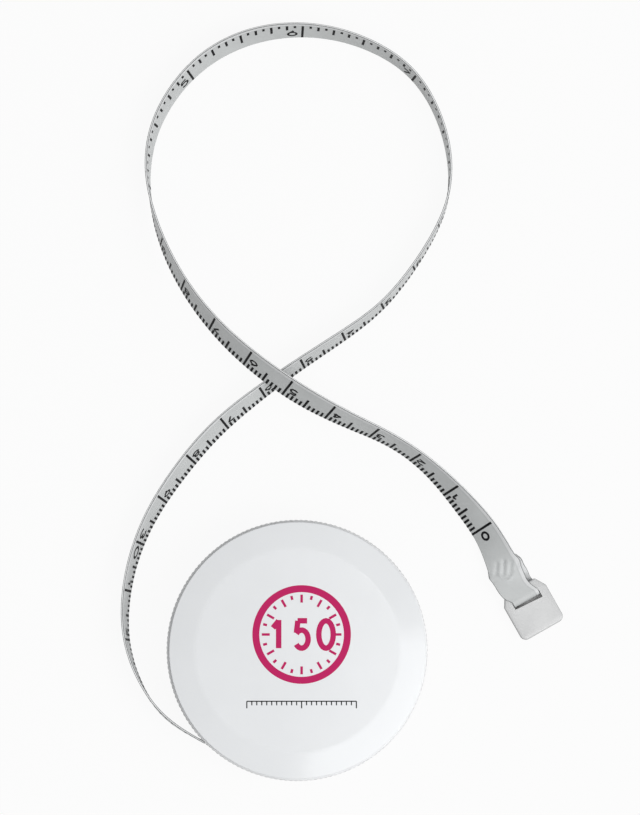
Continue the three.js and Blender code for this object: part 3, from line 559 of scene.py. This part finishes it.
def lead_strip(strip):
    """The tape between its roll and the mouth."""
    mouth, heading = mouth_line(strip)
    start = np.array((0, -(WINDING_OUTER + WINDING_PITCH)))
    bend = mouth + heading * (start[1] - mouth[1]) / heading[1]
    t = np.linspace(0, 1, LEAD_STEPS)[:, None]
    return level_strip((1 - t) ** 2 * start + 2 * t * (1 - t) * bend + t ** 2 * mouth)


# Printing: thin ribbons of ink, raised a little from the surface that carries them
INK_RAISE = 0.000012
INK_LAYER = 0.000003  # each stroke lies a little higher than the one before, where they cross
INK_LAYERS = 5
INK_SINK = 0.00002
MITRE_LIMIT = 0.6  # least cosine at a corner of a stroke


class Ink:
    """Ribbons of ink drawn in a flat space of two directions, and laid on a surface at the end."""

    def __init__(self):
        self.flat, self.lift, self.faces, self.strokes = [], [], [], 0

    def stroke(self, path, width, closed=False):
        path = np.array(path, float)
        before = np.roll(path, 1, axis=0)
        after = np.roll(path, -1, axis=0)
        if not closed:
            before[0], after[-1] = 2 * path[0] - path[1], 2 * path[-1] - path[-2]
        into, out = unit(path - before), unit(after - path)
        tangent = unit(into + out)
        normal = np.column_stack([-tangent[:, 1], tangent[:, 0]])
        widen = 1 / np.clip((tangent * into).sum(axis=1), MITRE_LIMIT, 1)
        side = normal * (widen * width / 2)[:, None]
        base = len(self.flat)
        raised = INK_RAISE + self.strokes % INK_LAYERS * INK_LAYER
        self.strokes += 1
        for point, offset in zip(path, side):
            self.flat += [point - offset, point + offset, point + offset, point - offset]
            self.lift += [raised, raised, -INK_SINK, -INK_SINK]
        self.faces += ring_faces(len(path), 4, closed_along=closed, first=base)

    def laid(self, name, surface):
        flat, lift = np.array(self.flat), np.array(self.lift)
        return make_object(name, surface(flat[:, 0], flat[:, 1], lift), self.faces)


def arc(x, y, width, height, start, end, steps=20):
    """Points of an arc of an ellipse, with its angles in degrees."""
    angles = np.radians(np.linspace(start, end, steps))
    return [(x + width * math.cos(a), y + height * math.sin(a)) for a in angles]


def loop(x, y, width, height, steps=28):
    return arc(x, y, width, height, 0, 360 * (1 - 1 / steps), steps)


def half_turn(strokes):
    return [([(-x, 1 - y) for x, y in path], closed) for path, closed in strokes]


SIX = [
    (loop(0, 0.34, 0.46, 0.34), True),
    ([(0.16, 1), (-0.1, 0.77), (-0.3, 0.58), (-0.42, 0.42)], False),
]
# Strokes of each digit in a box from -0.5 to 0.5 wide and from 0 to 1 high, and whether they close
DIGITS = {
    "0": [(loop(0, 0.5, 0.5, 0.5), True)],
    "1": [([(-0.3, 0.74), (0.1, 1)], False), ([(0.1, 1.03), (0.1, 0)], False)],
    "2": [(arc(0, 0.71, 0.42, 0.29, 165, -38) + [(-0.42, 0.02)], False), ([(-0.46, 0), (0.48, 0)], False)],
    "3": [(arc(0, 0.76, 0.36, 0.24, 155, -90), False), (arc(0, 0.26, 0.44, 0.26, 90, -155), False)],
    "4": [
        ([(0.2, 0), (0.2, 1)], False),
        ([(0.2, 1), (-0.46, 0.28)], False),
        ([(-0.5, 0.26), (0.5, 0.26)], False),
    ],
    "5": [
        ([(0.38, 1), (-0.28, 1)], False),
        ([(-0.26, 1), (-0.36, 0.56)], False),
        (arc(0, 0.33, 0.45, 0.33, 143, -145), False),
    ],
    "6": SIX,
    "7": [([(-0.44, 1), (0.44, 1)], False), ([(0.42, 1), (-0.16, 0)], False)],
    "8": [(loop(0, 0.76, 0.33, 0.24), True), (loop(0, 0.26, 0.46, 0.26), True)],
    "9": half_turn(SIX),
}


def draw_digit(ink, digit, centre, right, up, size, stroke):
    """Draws a digit round a centre. The size holds its width and its height."""
    right, up = np.array(right) * (size[0] - stroke), np.array(up) * (size[1] - stroke)
    for path, closed in DIGITS[digit]:
        ink.stroke([centre + right * x + up * (y - 0.5) for x, y in path], stroke, closed)


# Printed scales: distances up the tape are measured from the edge at which the marks start
TICK_STROKE = 0.0005
CM_PITCH = 0.01
CM_PARTS = 10
CM_TICKS = {1: 0.0017, 5: 0.0032, 10: 0.0060}
# Of a digit: its width and height, its stroke, and how far it lies from the marks' edge and from its mark
CM_NUMERALS = ((0.0021, 0.0021), 0.00045, 0.0029, 0.0016)
CM_TENS = ((0.0028, 0.0027), 0.00054, 0.0036, 0.00205)
CM_ZERO = ((0.0021, 0.0020), 0.0005, 0.0028, 0.0017)
INCH_PITCH = 0.0254
INCH_PARTS = 16
INCH_EDGE = 0.001
INCH_TICKS = {1: 0.0010, 2: 0.0019, 4: 0.0027, 8: 0.0033, 16: 0.0055}
INCH_NUMERALS = ((0.0024, 0.0027), 0.00048, 0.0044, 0.0021)
SCALE_MARGIN = 0.0006  # left bare beside the mouth


def tick_length(index, lengths):
    """The longest of the named marks that this one is a multiple of."""
    return max(length for every, length in lengths.items() if index % every == 0)


def last_digits(number):
    """What is printed beside a mark: both digits at every tenth mark, and the last digit at the others."""
    text = str(number)
    return text if number % 10 == 0 else text[-1]


def draw_label(ink, reach, label, start, inward, digit, numerals):
    """The first sign goes beside its mark towards the end tab, and the second on the other side."""
    size, stroke, rise, shift = numerals
    for place, sign in zip((reach + shift, reach - shift), label):
        if place > SCALE_MARGIN + size[0] / 2:
            middle = np.array((place, start + inward * rise))
            draw_digit(ink, sign, middle, (-1, 0), (0, digit), size, stroke)


def draw_scale(ink, zero, pitch, parts, lengths, edge, inward):
    """Marks from the zero mark back to the mouth, with edge as the height where they start."""
    for index in range(int((zero - SCALE_MARGIN) / pitch * parts) + 1):
        reach = zero - index * pitch / parts
        length = tick_length(index, lengths)
        ink.stroke([(reach, edge), (reach, edge + inward * length)], TICK_STROKE)


def print_scales(strip):
    zero = strip.length - LEAD_LENGTH
    half, thick = TAPE_WIDTH / 2, TAPE_THICKNESS / 2
    centimetres, inches = Ink(), Ink()
    draw_scale(centimetres, zero, CM_PITCH, CM_PARTS, CM_TICKS, -half, 1)
    for number in range(int(zero / CM_PITCH) + 1):
        label = last_digits(number)
        numerals = CM_ZERO if number == 0 else CM_NUMERALS if len(label) == 1 else CM_TENS
        draw_label(centimetres, zero - number * CM_PITCH, label, -half, 1, -1, numerals)
    draw_scale(inches, zero, INCH_PITCH, INCH_PARTS, INCH_TICKS, half - INCH_EDGE, -1)
    for number in range(int(zero / INCH_PITCH) + 1):
        draw_label(inches, zero - number * INCH_PITCH, str(number), half, -1, 1, INCH_NUMERALS)
    cm_side = centimetres.laid("scale_cm", lambda s, h, lift: strip.at(s, h, -thick - lift))
    inch_side = inches.laid("scale_inch", lambda s, h, lift: strip.at(s, h, thick + lift))
    return cm_side, inch_side


# Printed face: a plain dial ring with the tape's length in centimetres, and a short scale below it
DIAL_CENTRE = (0.0008, 0.0032)
DIAL_RADIUS = 0.0092
DIAL_STROKE = 0.0014
DIAL_STEPS = 120
DIAL_TICKS = 24
DIAL_TICK_LENGTH = 0.0016
DIAL_TICK_STROKE = 0.0005
NUMBER = "150"
NUMBER_SIZE = (0.0040, 0.0066)
NUMBER_STROKE = 0.0011
NUMBER_PITCH = 0.0049
RULE_CENTRE = (0.0008, -0.0102)
RULE_LENGTH = 0.022
RULE_STROKE = 0.00022
RULE_PARTS = 22
RULE_TICKS = {1: 0.0008, 11: 0.0014}


def on_cap(x, y, lift):
    return np.column_stack([x, y, CASE_HEIGHT + lift])


def print_dial():
    ink = Ink()
    centre = np.array(DIAL_CENTRE)
    ink.stroke(loop(*DIAL_CENTRE, DIAL_RADIUS, DIAL_RADIUS, DIAL_STEPS), DIAL_STROKE, True)
    inner = DIAL_RADIUS - DIAL_STROKE / 2 - DIAL_TICK_STROKE
    for i in range(DIAL_TICKS):
        angle = i / DIAL_TICKS * math.tau
        spoke = np.array((math.cos(angle), math.sin(angle)))
        length = DIAL_TICK_LENGTH if i % 2 == 0 else DIAL_TICK_LENGTH / 2
        ink.stroke([centre + spoke * inner, centre + spoke * (inner - length)], DIAL_TICK_STROKE)
    for place, sign in enumerate(NUMBER):
        shift = (place - (len(NUMBER) - 1) / 2) * NUMBER_PITCH
        draw_digit(ink, sign, centre + (shift, 0), (1, 0), (0, 1), NUMBER_SIZE, NUMBER_STROKE)
    return ink.laid("face_dial", on_cap)


def print_rule():
    ink = Ink()
    x, y = RULE_CENTRE
    ink.stroke([(x - RULE_LENGTH / 2, y), (x + RULE_LENGTH / 2, y)], RULE_STROKE)
    for i in range(RULE_PARTS + 1):
        place = x + (i / RULE_PARTS - 0.5) * RULE_LENGTH
        ink.stroke([(place, y), (place, y - tick_length(i, RULE_TICKS))], RULE_STROKE)
    return ink.laid("face_rule", on_cap)


# Case

def knurl_swell(angles, radius, height):
    """How far the grip ribs stand out of the shell's wall at a height."""
    if radius < KNURL_RADIUS - KNURL_DEPTH - 1e-6:
        return 0 * angles
    share = smooth_step(min(height - KNURL_FOOT, KNURL_TOP - height) / KNURL_RUNOUT)
    wave = 0.5 + 0.5 * np.cos(angles * KNURL_COUNT)
    return KNURL_DEPTH * share * wave ** KNURL_ROUNDING


def grip_shell():
    root = KNURL_RADIUS - KNURL_DEPTH
    inside = root - SHELL_WALL
    ledge = inside - LEDGE_WIDTH
    corners = [
        (ARBOR_HOLE_RADIUS, ARBOR_SEAT_DEPTH, 0), (ARBOR_SEAT_RADIUS, ARBOR_SEAT_DEPTH, 0),
        (ARBOR_SEAT_RADIUS, 0, SMALL_FILLET), (root, 0, SHELL_ROUNDING),
    ]
    ribbed = [KNURL_FOOT, KNURL_FOOT + KNURL_RUNOUT / 2, KNURL_FOOT + KNURL_RUNOUT]
    ribbed += [KNURL_TOP - KNURL_RUNOUT, KNURL_TOP - KNURL_RUNOUT / 2, KNURL_TOP]
    corners += [(root, height, 0) for height in ribbed]
    corners += [
        (root, SHELL_TOP, 2 * SMALL_FILLET), (ledge, SHELL_TOP, SMALL_FILLET),
        (ledge, SHELL_TOP - LEDGE_HEIGHT, 0), (inside, SHELL_TOP - LEDGE_HEIGHT, 0),
        (inside, SHELL_FLOOR, 2 * SMALL_FILLET), (ARBOR_HOLE_RADIUS, SHELL_FLOOR, 0),
    ]
    return turned("grip_shell", rounded(corners, 4), KNURL_COUNT * KNURL_STEPS, knurl_swell)


def cut_mouth(shell, strip):
    mouth, heading = mouth_line(strip)
    side = np.array((-heading[1], heading[0])) * MOUTH_WIDTH / 2
    start, end = mouth - heading * MOUTH_CUT[0], mouth + heading * MOUTH_CUT[1]
    outline = [start - side, end - side, end + side, start + side]
    bottom = TAPE_BOTTOM + (TAPE_WIDTH - MOUTH_HEIGHT) / 2
    return combine(shell, prism("mouth", outline, bottom, bottom + MOUTH_HEIGHT), "DIFFERENCE")


def cap_face():
    flat = CAP_RADIUS - CAP_CONE_WIDTH
    edge_top = CASE_HEIGHT - CAP_CROWN_DROP
    rim = edge_top - CAP_EDGE_THICKNESS
    under = CASE_HEIGHT - CAP_THICKNESS
    inner = SKIRT_RADIUS - SKIRT_THICKNESS
    seat = under + STEM_SEAT_DEPTH
    corners = [
        (0, CASE_HEIGHT, 0), (flat, CASE_HEIGHT, CAP_CREASE_RADIUS),
        (CAP_RADIUS, edge_top, CAP_EDGE_RADIUS), (CAP_RADIUS, rim, SMALL_FILLET),
        (SKIRT_RADIUS, rim, 0), (SKIRT_RADIUS, rim - SKIRT_DEPTH, 0),
        (inner, rim - SKIRT_DEPTH, 0), (inner, under - CAP_CROWN_DROP, 0), (flat, under, 0),
        (STEM_SEAT_RADIUS, under, 0), (STEM_SEAT_RADIUS, seat, 0), (0, seat, 0),
    ]
    cap = turned("cap_face", rounded(corners, 8), CAP_SEGMENTS)
    for i in range(CLAW_COUNT):
        middle = CLAW_TURN + i / CLAW_COUNT * math.tau
        leg = sector(inner, SKIRT_RADIUS, middle, CLAW_ARC)
        combine(cap, prism("leg", leg, CLAW_BOTTOM, rim - SKIRT_DEPTH / 2), "UNION")
        barb = sector(inner + SKIRT_THICKNESS / 2, SKIRT_RADIUS + BARB_WIDTH, middle, CLAW_ARC)
        combine(cap, prism("barb", barb, CLAW_BOTTOM, CLAW_BOTTOM + BARB_HEIGHT), "UNION")
    return cap


# Return spring: a conical coil
SPRING_LOW, SPRING_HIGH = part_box("return_spring")
SPRING_WIRE = 0.0004
SPRING_TURNS = 3
SPRING_TAPER = 0.0036  # how much less the radius of its head is
SPRING_SIDES = 12
SPRING_STEPS = 144
UPWARD = np.array((0, 0, 1))


def return_coil():
    share = np.linspace(0, 1, SPRING_STEPS + 1)[:, None]
    angle = share * SPRING_TURNS * math.tau
    spoke = np.hstack([np.cos(angle), np.sin(angle), 0 * angle])
    radius = SPRING_HIGH.x - SPRING_WIRE / 2 - SPRING_TAPER * share
    foot, head = SPRING_LOW.z + SPRING_WIRE / 2, SPRING_HIGH.z - SPRING_WIRE / 2
    middle = spoke * radius + UPWARD * (foot + (head - foot) * share)
    points = []
    for place, out in zip(middle, spoke):
        for side in range(SPRING_SIDES):
            turn = side / SPRING_SIDES * math.tau
            away = out * math.cos(turn) + UPWARD * math.sin(turn)
            points.append(place + away * SPRING_WIRE / 2)
    return make_object("return_coil", points, ring_faces(len(middle), SPRING_SIDES))


def add_return_spring(steel):
    coil = dress(return_coil(), "case", "spring_steel", steel, "return_spring")
    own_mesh(coil)


# End tab, made with the axis of its bar's round side on the Y axis and its outer end towards +X
TAB_EDGE_RADIUS = 0.00045
TAB_EDGE_STEPS = 5
BAR_SIDES = 32


def inset_outline(corners, inset):
    """Corners of an outline moved inward, with the radius of each rounding changed to suit."""
    count = len(corners)
    points = np.array([corner[:2] for corner in corners])
    moved = []
    for i in range(count):
        into = unit(points[i] - points[i - 1])
        out = unit(points[(i + 1) % count] - points[i])
        normal_in, normal_out = np.array((-into[1], into[0])), np.array((-out[1], out[0]))
        middle = unit(normal_in + normal_out)
        place = points[i] + middle * inset / (middle @ normal_in)
        moved.append((*place, max(corners[i][2] - inset, SMALL_FILLET / 3)))
    return moved


def tab_corners():
    near, far, side = -TAB_BAR_WIDTH, TAB_LENGTH - TAB_BAR_WIDTH, TAB_WIDTH / 2
    along, across = TAB_TOP_CHAMFER
    places = [(near, side - across), (near + along, side), (far, side)]
    half = [(*place, radius) for place, radius in zip(places, TAB_ROUNDINGS)]
    return [(x, -y, radius) for x, y, radius in half] + half[::-1]


def tab_plate():
    half = TAB_THICKNESS / 2
    turns = np.linspace(0, math.pi / 2, TAB_EDGE_STEPS + 1)
    insets = TAB_EDGE_RADIUS * (1 - np.sin(turns))
    drops = TAB_EDGE_RADIUS * (1 - np.cos(turns))
    levels = list(zip(insets, drops - half)) + list(zip(insets[::-1], half - drops[::-1]))
    points = []
    for inset, height in levels:
        outline = rounded(inset_outline(tab_corners(), inset), 8)
        points += [(x, y, height) for x, y in outline]
    plate = make_object("tab_plate", points, ring_faces(len(levels), len(points) // len(levels)))
    side = TAB_SLOT_SIDE
    outline = [(0, -side), (TAB_SLOT_ENDS[0], -side), (TAB_SLOT_ENDS[1], side), (0, side)]
    slot = prism("slot", outline, -TAB_THICKNESS, TAB_THICKNESS)
    combine(plate, slot, "DIFFERENCE")
    around = np.linspace(0, math.tau, BAR_SIDES, endpoint=False)
    ring = [(TAB_BAR_RADIUS * math.cos(a), TAB_BAR_RADIUS * math.sin(a)) for a in around]
    bar_end = side + SMALL_FILLET
    points = [(x, y, z) for y in (-bar_end, bar_end) for x, z in ring]
    bar = make_object("bar", points, ring_faces(2, BAR_SIDES))
    combine(plate, bar, "UNION")
    place = Matrix.Translation((*BAR_POINT, TAB_MIDDLE)) @ Matrix.Rotation(BAR_HEADING, 4, "Z")
    plate.data.transform(place)
    return plate


# Materials

class Graph:
    """The nodes of a material or a world, added one by one."""

    def __init__(self, owner):
        owner.use_nodes = True
        self.nodes, self.links = owner.node_tree.nodes, owner.node_tree.links

    def add(self, kind, **inputs):
        return self.fill(self.nodes.new("ShaderNode" + kind), **inputs)

    def fill(self, node, **inputs):
        for name, value in inputs.items():
            self.feed(node.inputs[name.replace("_", " ")], value)
        return node

    def feed(self, socket, value):
        if isinstance(value, bpy.types.NodeSocket):
            self.links.new(value, socket)
        else:
            socket.default_value = value

    def math(self, operation, *values):
        node = self.add("Math")
        node.operation = operation
        for socket, value in zip(node.inputs, values):
            self.feed(socket, value)
        return node.outputs["Value"]

    def spread(self, value, low, high, start=0.0, end=1.0):
        """Maps a value from one range to another, and stays inside it."""
        node = self.add("MapRange")
        for socket, number in zip(list(node.inputs)[:5], (value, start, end, low, high)):
            self.feed(socket, number)
        return node.outputs["Result"]

    def mix_shader(self, share, first, second):
        node = self.add("MixShader")
        for socket, value in zip(node.inputs, (share, first, second)):
            self.feed(socket, value)
        return node.outputs["Shader"]


class Finish(Graph):
    """A principled material."""

    def __init__(self, name, color, roughness, **settings):
        self.material = bpy.data.materials.new(name)
        super().__init__(self.material)
        self.shader = self.nodes["Principled BSDF"]
        self.set(Base_Color=(*color, 1), Roughness=roughness, **settings)
        self.coordinates = self.add("TexCoord").outputs
        self.place = self.coordinates["Object"]

    def noise(self, scale, detail=3, roughness=0.5, vector=None):
        node = self.add("TexNoise", Scale=scale, Detail=detail, Roughness=roughness)
        self.feed(node.inputs["Vector"], vector or self.place)
        return node.outputs["Fac"]

    def mix_color(self, share, first, second):
        node = self.add("Mix")
        node.data_type = "RGBA"
        sockets = [s for s in node.inputs if s.type == "RGBA"]
        self.feed(node.inputs[0], share)
        for socket, color in zip(sockets, (first, second)):
            self.feed(socket, (*color, 1) if isinstance(color, tuple) else color)
        return next(s for s in node.outputs if s.type == "RGBA")

    def set(self, **inputs):
        self.fill(self.shader, **inputs)

    def bump(self, height, distance):
        self.set(Normal=self.add("Bump", Height=height, Distance=distance).outputs["Normal"])


NOISE_RANGE = (0.3, 0.7)  # where most values of a noise lie


def shaded(color, share):
    return tuple(c * share for c in color)


def moulded(name, color, roughness, grain=0.000004, shade=0.97, wall_painted_shade=1.0, painted_shade_slopes=(0.15, 0.55)):
    """Moulded plastic: faint clouding, painted shade on upright walls, uneven gloss and a slight grain."""
    finish = Finish(name, color, roughness)
    cloud = finish.spread(finish.noise(70, 4), 0, 1, *NOISE_RANGE)
    plain = finish.mix_color(cloud, shaded(color, shade), color)
    # Painted shade: the colour is darkened by how upright the face's normal is, so upright walls look
    # shaded
    normal = finish.add("SeparateXYZ", Vector=finish.coordinates["Normal"]).outputs["Z"]
    flat = finish.spread(finish.math("ABSOLUTE", normal), 0, 1, *painted_shade_slopes)
    finish.set(Base_Color=finish.mix_color(flat, shaded(color, shade * wall_painted_shade), plain))
    marks = finish.noise(420, 5, 0.65)
    finish.set(Roughness=finish.spread(marks, roughness * 0.85, roughness * 1.25, *NOISE_RANGE))
    finish.bump(finish.noise(1800, 2), grain)
    return finish.material


def metal(name, color, roughness, stretch):
    """Metal with fine lines that follow the way it was worked."""
    finish = Finish(name, color, roughness, Metallic=1.0)
    lines = finish.add("Mapping", Vector=finish.place, Scale=stretch).outputs["Vector"]
    fine = finish.noise(1, 4, 0.6, lines)
    finish.set(Base_Color=finish.mix_color(fine, shaded(color, 0.8), color))
    finish.set(Roughness=finish.spread(fine, roughness * 0.75, roughness * 1.35, *NOISE_RANGE))
    finish.bump(fine, 0.00001)
    return finish.material


def rubber(name, color):
    finish = Finish(name, color, 0.85)
    fine = finish.noise(2500, 3)
    finish.set(Base_Color=finish.mix_color(fine, shaded(color, 0.7), shaded(color, 1.3)))
    finish.bump(fine, 0.00003)
    return finish.material


BORDER_HEIGHT = 0.0024  # from the tape's middle to the start of its pale border
BORDER_LINE = 0.00018
BRIGHT_EDGE = 0.00014  # at the border's outer side
CORNER_SHADE_WIDTH = 0.0001  # painted shade: a dark line along the corners of the tape's section
THREAD_PITCH = 0.00034
CLOTH_GROUND = (0.545, 0.56, 0.56)
CLOTH_PALE = (0.68, 0.69, 0.695)
CLOTH_LINE = (0.36, 0.37, 0.375)
CLOTH_BRIGHT = (0.78, 0.79, 0.795)
CLOTH_SIDE = (0.85, 0.86, 0.865)


def woven_tape():
    """Coated cloth: threads under a smooth coat, a pale border along one edge with thin lines, and painted
    shade along the corners of its section.
    """
    finish = Finish("tape_cloth", CLOTH_GROUND, 0.4, Specular_IOR_Level=0.25)
    notes = finish.add("Attribute")
    notes.attribute_name = "strip"
    split = finish.add("SeparateXYZ", Vector=notes.outputs["Vector"]).outputs
    warp, weft = (
        finish.math("SINE", finish.math("MULTIPLY", split[way], math.tau / THREAD_PITCH)) for way in "YX"
    )
    weave = finish.spread(finish.math("MULTIPLY", warp, weft), 0, 1, -1, 1)
    cloud = finish.spread(finish.noise(160, 4, 0.6), 0, 1, *NOISE_RANGE)
    cloth = finish.mix_color(cloud, shaded(CLOTH_GROUND, 0.94), shaded(CLOTH_GROUND, 1.04))
    cloth = finish.mix_color(finish.math("MULTIPLY", weave, 0.1), cloth, CLOTH_LINE)
    cloth = bordered(finish, cloth, cloud, split["Y"])
    # Painted shade: the bevels along the tape's corners get a dark colour
    finish.set(Base_Color=finish.mix_color(corner_lines(finish, split), cloth, shaded(CLOTH_LINE, 0.5)))
    finish.set(Roughness=finish.spread(cloud, 0.34, 0.44))
    finish.bump(weave, 0.000012)
    return finish.material


def bordered(finish, cloth, cloud, height):
    """Lays the pale border with its inner line and bright edge over the cloth, and whitens its sides."""
    half = TAPE_WIDTH / 2
    border = finish.spread(height, 0, 1, BORDER_HEIGHT, BORDER_HEIGHT + BORDER_LINE)
    cloth = finish.mix_color(border, cloth, finish.mix_color(cloud, shaded(CLOTH_PALE, 0.9), CLOTH_PALE))
    bright = finish.spread(height, 0, 0.7, half - 2 * BRIGHT_EDGE, half - BRIGHT_EDGE)
    cloth = finish.mix_color(bright, cloth, CLOTH_BRIGHT)
    off_line = finish.math("ABSOLUTE", finish.math("SUBTRACT", height, BORDER_HEIGHT))
    cloth = finish.mix_color(finish.spread(off_line, 0.25, 0, 0, 1.5 * BORDER_LINE), cloth, CLOTH_LINE)
    off_middle = finish.math("ABSOLUTE", height)
    side = finish.spread(off_middle, 0, 1, half - TAPE_BEVEL / 2, half - TAPE_BEVEL / 4)
    return finish.mix_color(side, cloth, CLOTH_SIDE)


def corner_lines(finish, split):
    """Where the painted shade goes: 1 on the bevels along the tape's corners, and 0 elsewhere."""
    shares = []
    for name, reach in (("Y", TAPE_WIDTH / 2), ("Z", TAPE_THICKNESS / 2)):
        off = finish.math("ABSOLUTE", split[name])
        shares.append(finish.spread(off, 0, 1, reach - 1.3 * CORNER_SHADE_WIDTH, reach - CORNER_SHADE_WIDTH))
    return finish.math("MULTIPLY", *shares)


def ink_finish(name, color):
    """Printing ink, a little thin in places."""
    finish = Finish(name, color, 0.6, Specular_IOR_Level=0.08)
    worn = finish.spread(finish.noise(900, 4, 0.7), 0, 0.35, 0.5, 0.8)
    finish.set(Base_Color=finish.mix_color(worn, color, tuple(c * 0.9 + 0.01 for c in color)))
    finish.bump(finish.noise(3000, 2), 0.000004)
    return finish.material


# Stage
STAGE_SIZE = 3
FLOOR_GLOW_SHARE = 0.93
FLOOR_COLOR = (0.6, 0.6, 0.6, 1)
FLOOR_COVER_DISTANCE = 0.003
FLOOR_COVER = (0.22, 0.42)  # openness of the floor at which its glow starts, and at which it is full
WORLD_LIGHT = 0.48
TOP_SOFTBOX = ((0.335, -0.285, 1), (0.335, -0.285, 0), (0.57, 0.67), 2.85)  # place, aim, size, radiance
SIDE_SOFTBOX = ((0.95, -0.35, 1.0), (0, 0.05, 0), (1.0, 1.0), 3.0)


def view_share(graph):
    """1 for rays from the camera, off gloss and through clear things, and 0 for the rest."""
    path = graph.add("LightPath").outputs
    seen = graph.math("MAXIMUM", path["Is Camera Ray"], path["Is Glossy Ray"])
    return graph.math("MAXIMUM", seen, path["Is Transmission Ray"])


def open_share(graph):
    """The floor's glow, which stops where something covers the floor from close above."""
    cover = graph.add("AmbientOcclusion", Distance=FLOOR_COVER_DISTANCE)
    return graph.spread(cover.outputs["AO"], 0, FLOOR_GLOW_SHARE, *FLOOR_COVER)


def floor_material():
    """Pale from above, and clear from below, so that the rear face can be seen."""
    material = bpy.data.materials.new("floor")
    graph = Graph(material)
    graph.nodes.clear()
    paper = graph.add("BsdfDiffuse", Color=FLOOR_COLOR).outputs["BSDF"]
    glow = graph.add("Emission", Strength=1).outputs["Emission"]
    share = graph.math("MULTIPLY", view_share(graph), open_share(graph))
    above = graph.mix_shader(share, paper, glow)
    below = graph.add("BsdfTransparent").outputs["BSDF"]
    from_below = graph.add("NewGeometry").outputs["Backfacing"]
    graph.add("OutputMaterial", Surface=graph.mix_shader(from_below, above, below))
    return material


def add_floor():
    half = STAGE_SIZE / 2
    mesh = bpy.data.meshes.new("floor")
    corners = [(-half, -half, 0), (half, -half, 0), (half, half, 0), (-half, half, 0)]
    mesh.from_pydata(corners, [], [(0, 1, 2, 3)])
    mesh.materials.append(floor_material())
    floor = put("floor", mesh)


def add_world():
    world = bpy.data.worlds.new("world")
    bpy.context.scene.world = world
    graph = Graph(world)
    strength = graph.spread(view_share(graph), WORLD_LIGHT, 1)
    graph.fill(graph.nodes["Background"], Color=(1, 1, 1, 1), Strength=strength)


def add_softbox(name, place, aim, size, radiance):
    data = bpy.data.lights.new(name, "AREA")
    data.shape, data.size, data.size_y = "RECTANGLE", *size
    data.energy = radiance * size[0] * size[1] * math.pi
    lamp = put(name, data)
    lamp.location = place
    lamp.rotation_euler = (Vector(aim) - Vector(place)).to_track_quat("-Z", "Y").to_euler()


# Assembly

def add_tape(strip, cloth, ink):
    """The free tape with its end round the bar, and its printing."""
    whole = whole_strip(strip)
    before, after = tape_rings(whole)
    tape = strip_object("tape_strip", whole, before, welded(whole))
    dress(tape, "case", "tape", cloth, "tape_free")
    end = strip_object("tape_end", whole, after, welded(whole))
    dress(end, None, "tape", cloth, "tape_fold")
    bend = whole.bar_reach - HINGE_REACH
    start, stop = (whole.at([bend + side * BEND_HALF], 0, 0)[0] for side in (-1, 1))
    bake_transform(end)
    scales = print_scales(strip)
    for scale in scales:
        dress(scale, "case", "tape", ink)
    return tape, [end, *scales]


def add_cord(strip):
    path = strip.at(np.linspace(0, strip.length - END_REACH, CORD_POINTS), 0, 0)


def add_free_tape(strip, cloth, ink):
    tape, pieces = add_tape(strip, cloth, ink)
    # The tab's upright edges get strong painted shade, which draws a grey outline round it
    plastic = moulded("tab_plastic", (0.585, 0.59, 0.592), 0.2, wall_painted_shade=0.45, painted_shade_slopes=(0.4, 0.7))
    tab = dress(tab_plate(), "tab", "tab", plastic, "end_tab")
    add_cord(strip)


def add_inner_tape(strip, cloth):
    wound = wound_strip()
    roll = strip_object("tape_roll", wound, wound.reach, columns=INNER_COLUMNS)
    dress(roll, "reel", "tape", cloth, "tape_winding")
    lead = lead_strip(strip)
    inner = strip_object("tape_lead", lead, lead.reach[:-1], columns=INNER_COLUMNS)
    dress(inner, "case", "tape", cloth, "tape_run")


def add_case(strip, ink):
    # The shell's upright walls get a little painted shade
    shell_plastic = moulded("shell_plastic", (0.8, 0.81, 0.82), 0.28, wall_painted_shade=0.85)
    cap_plastic = moulded("cap_plastic", (0.775, 0.79, 0.805), 0.13)
    dress(cut_mouth(grip_shell(), strip), "case", "shell", shell_plastic, "body_shell")
    dress(cap_face(), "press", "cap", cap_plastic, "push_cap")
    dress(print_dial(), "press", "cap", ink_finish("magenta_ink", (0.5, 0.019, 0.118)))
    dress(print_rule(), "press", "cap", ink)


def finish_solids():
    """Adds the return spring, and gives each solid that is kept its material."""
    finishes = {
        "steel": metal("turned_steel", (0.6, 0.61, 0.62), 0.3, (300, 300, 6000)),
        "spring_steel": metal("spring_steel", (0.42, 0.45, 0.49), 0.28, (900, 900, 4000)),
        "brass": metal("brass", (0.71, 0.6, 0.34), 0.3, (2000, 2000, 5000)),
        "reel": moulded("reel_plastic", (0.72, 0.73, 0.74), 0.42, 0.00001),
        "pad": rubber("pad_rubber", (0.03, 0.03, 0.03)),
    }
    add_return_spring(finishes["spring_steel"])
    for part in frame["record"]["subparts"]:
        if part["material_slot"] in finishes:
            for place in frame["nodes"][part["node"]].material_slots:
                place.material = finishes[part["material_slot"]]


def build():
    add_camera()
    strip = free_strip()
    cloth = woven_tape()
    black = ink_finish("black_ink", (0.008, 0.008, 0.009))
    add_free_tape(strip, cloth, black)
    add_inner_tape(strip, cloth)
    add_case(strip, black)
    finish_solids()
    add_floor()
    add_world()
    add_softbox("top_softbox", *TOP_SOFTBOX)
    add_softbox("side_softbox", *SIDE_SOFTBOX)
    bpy.context.scene.view_settings.view_transform = "Standard"


build()
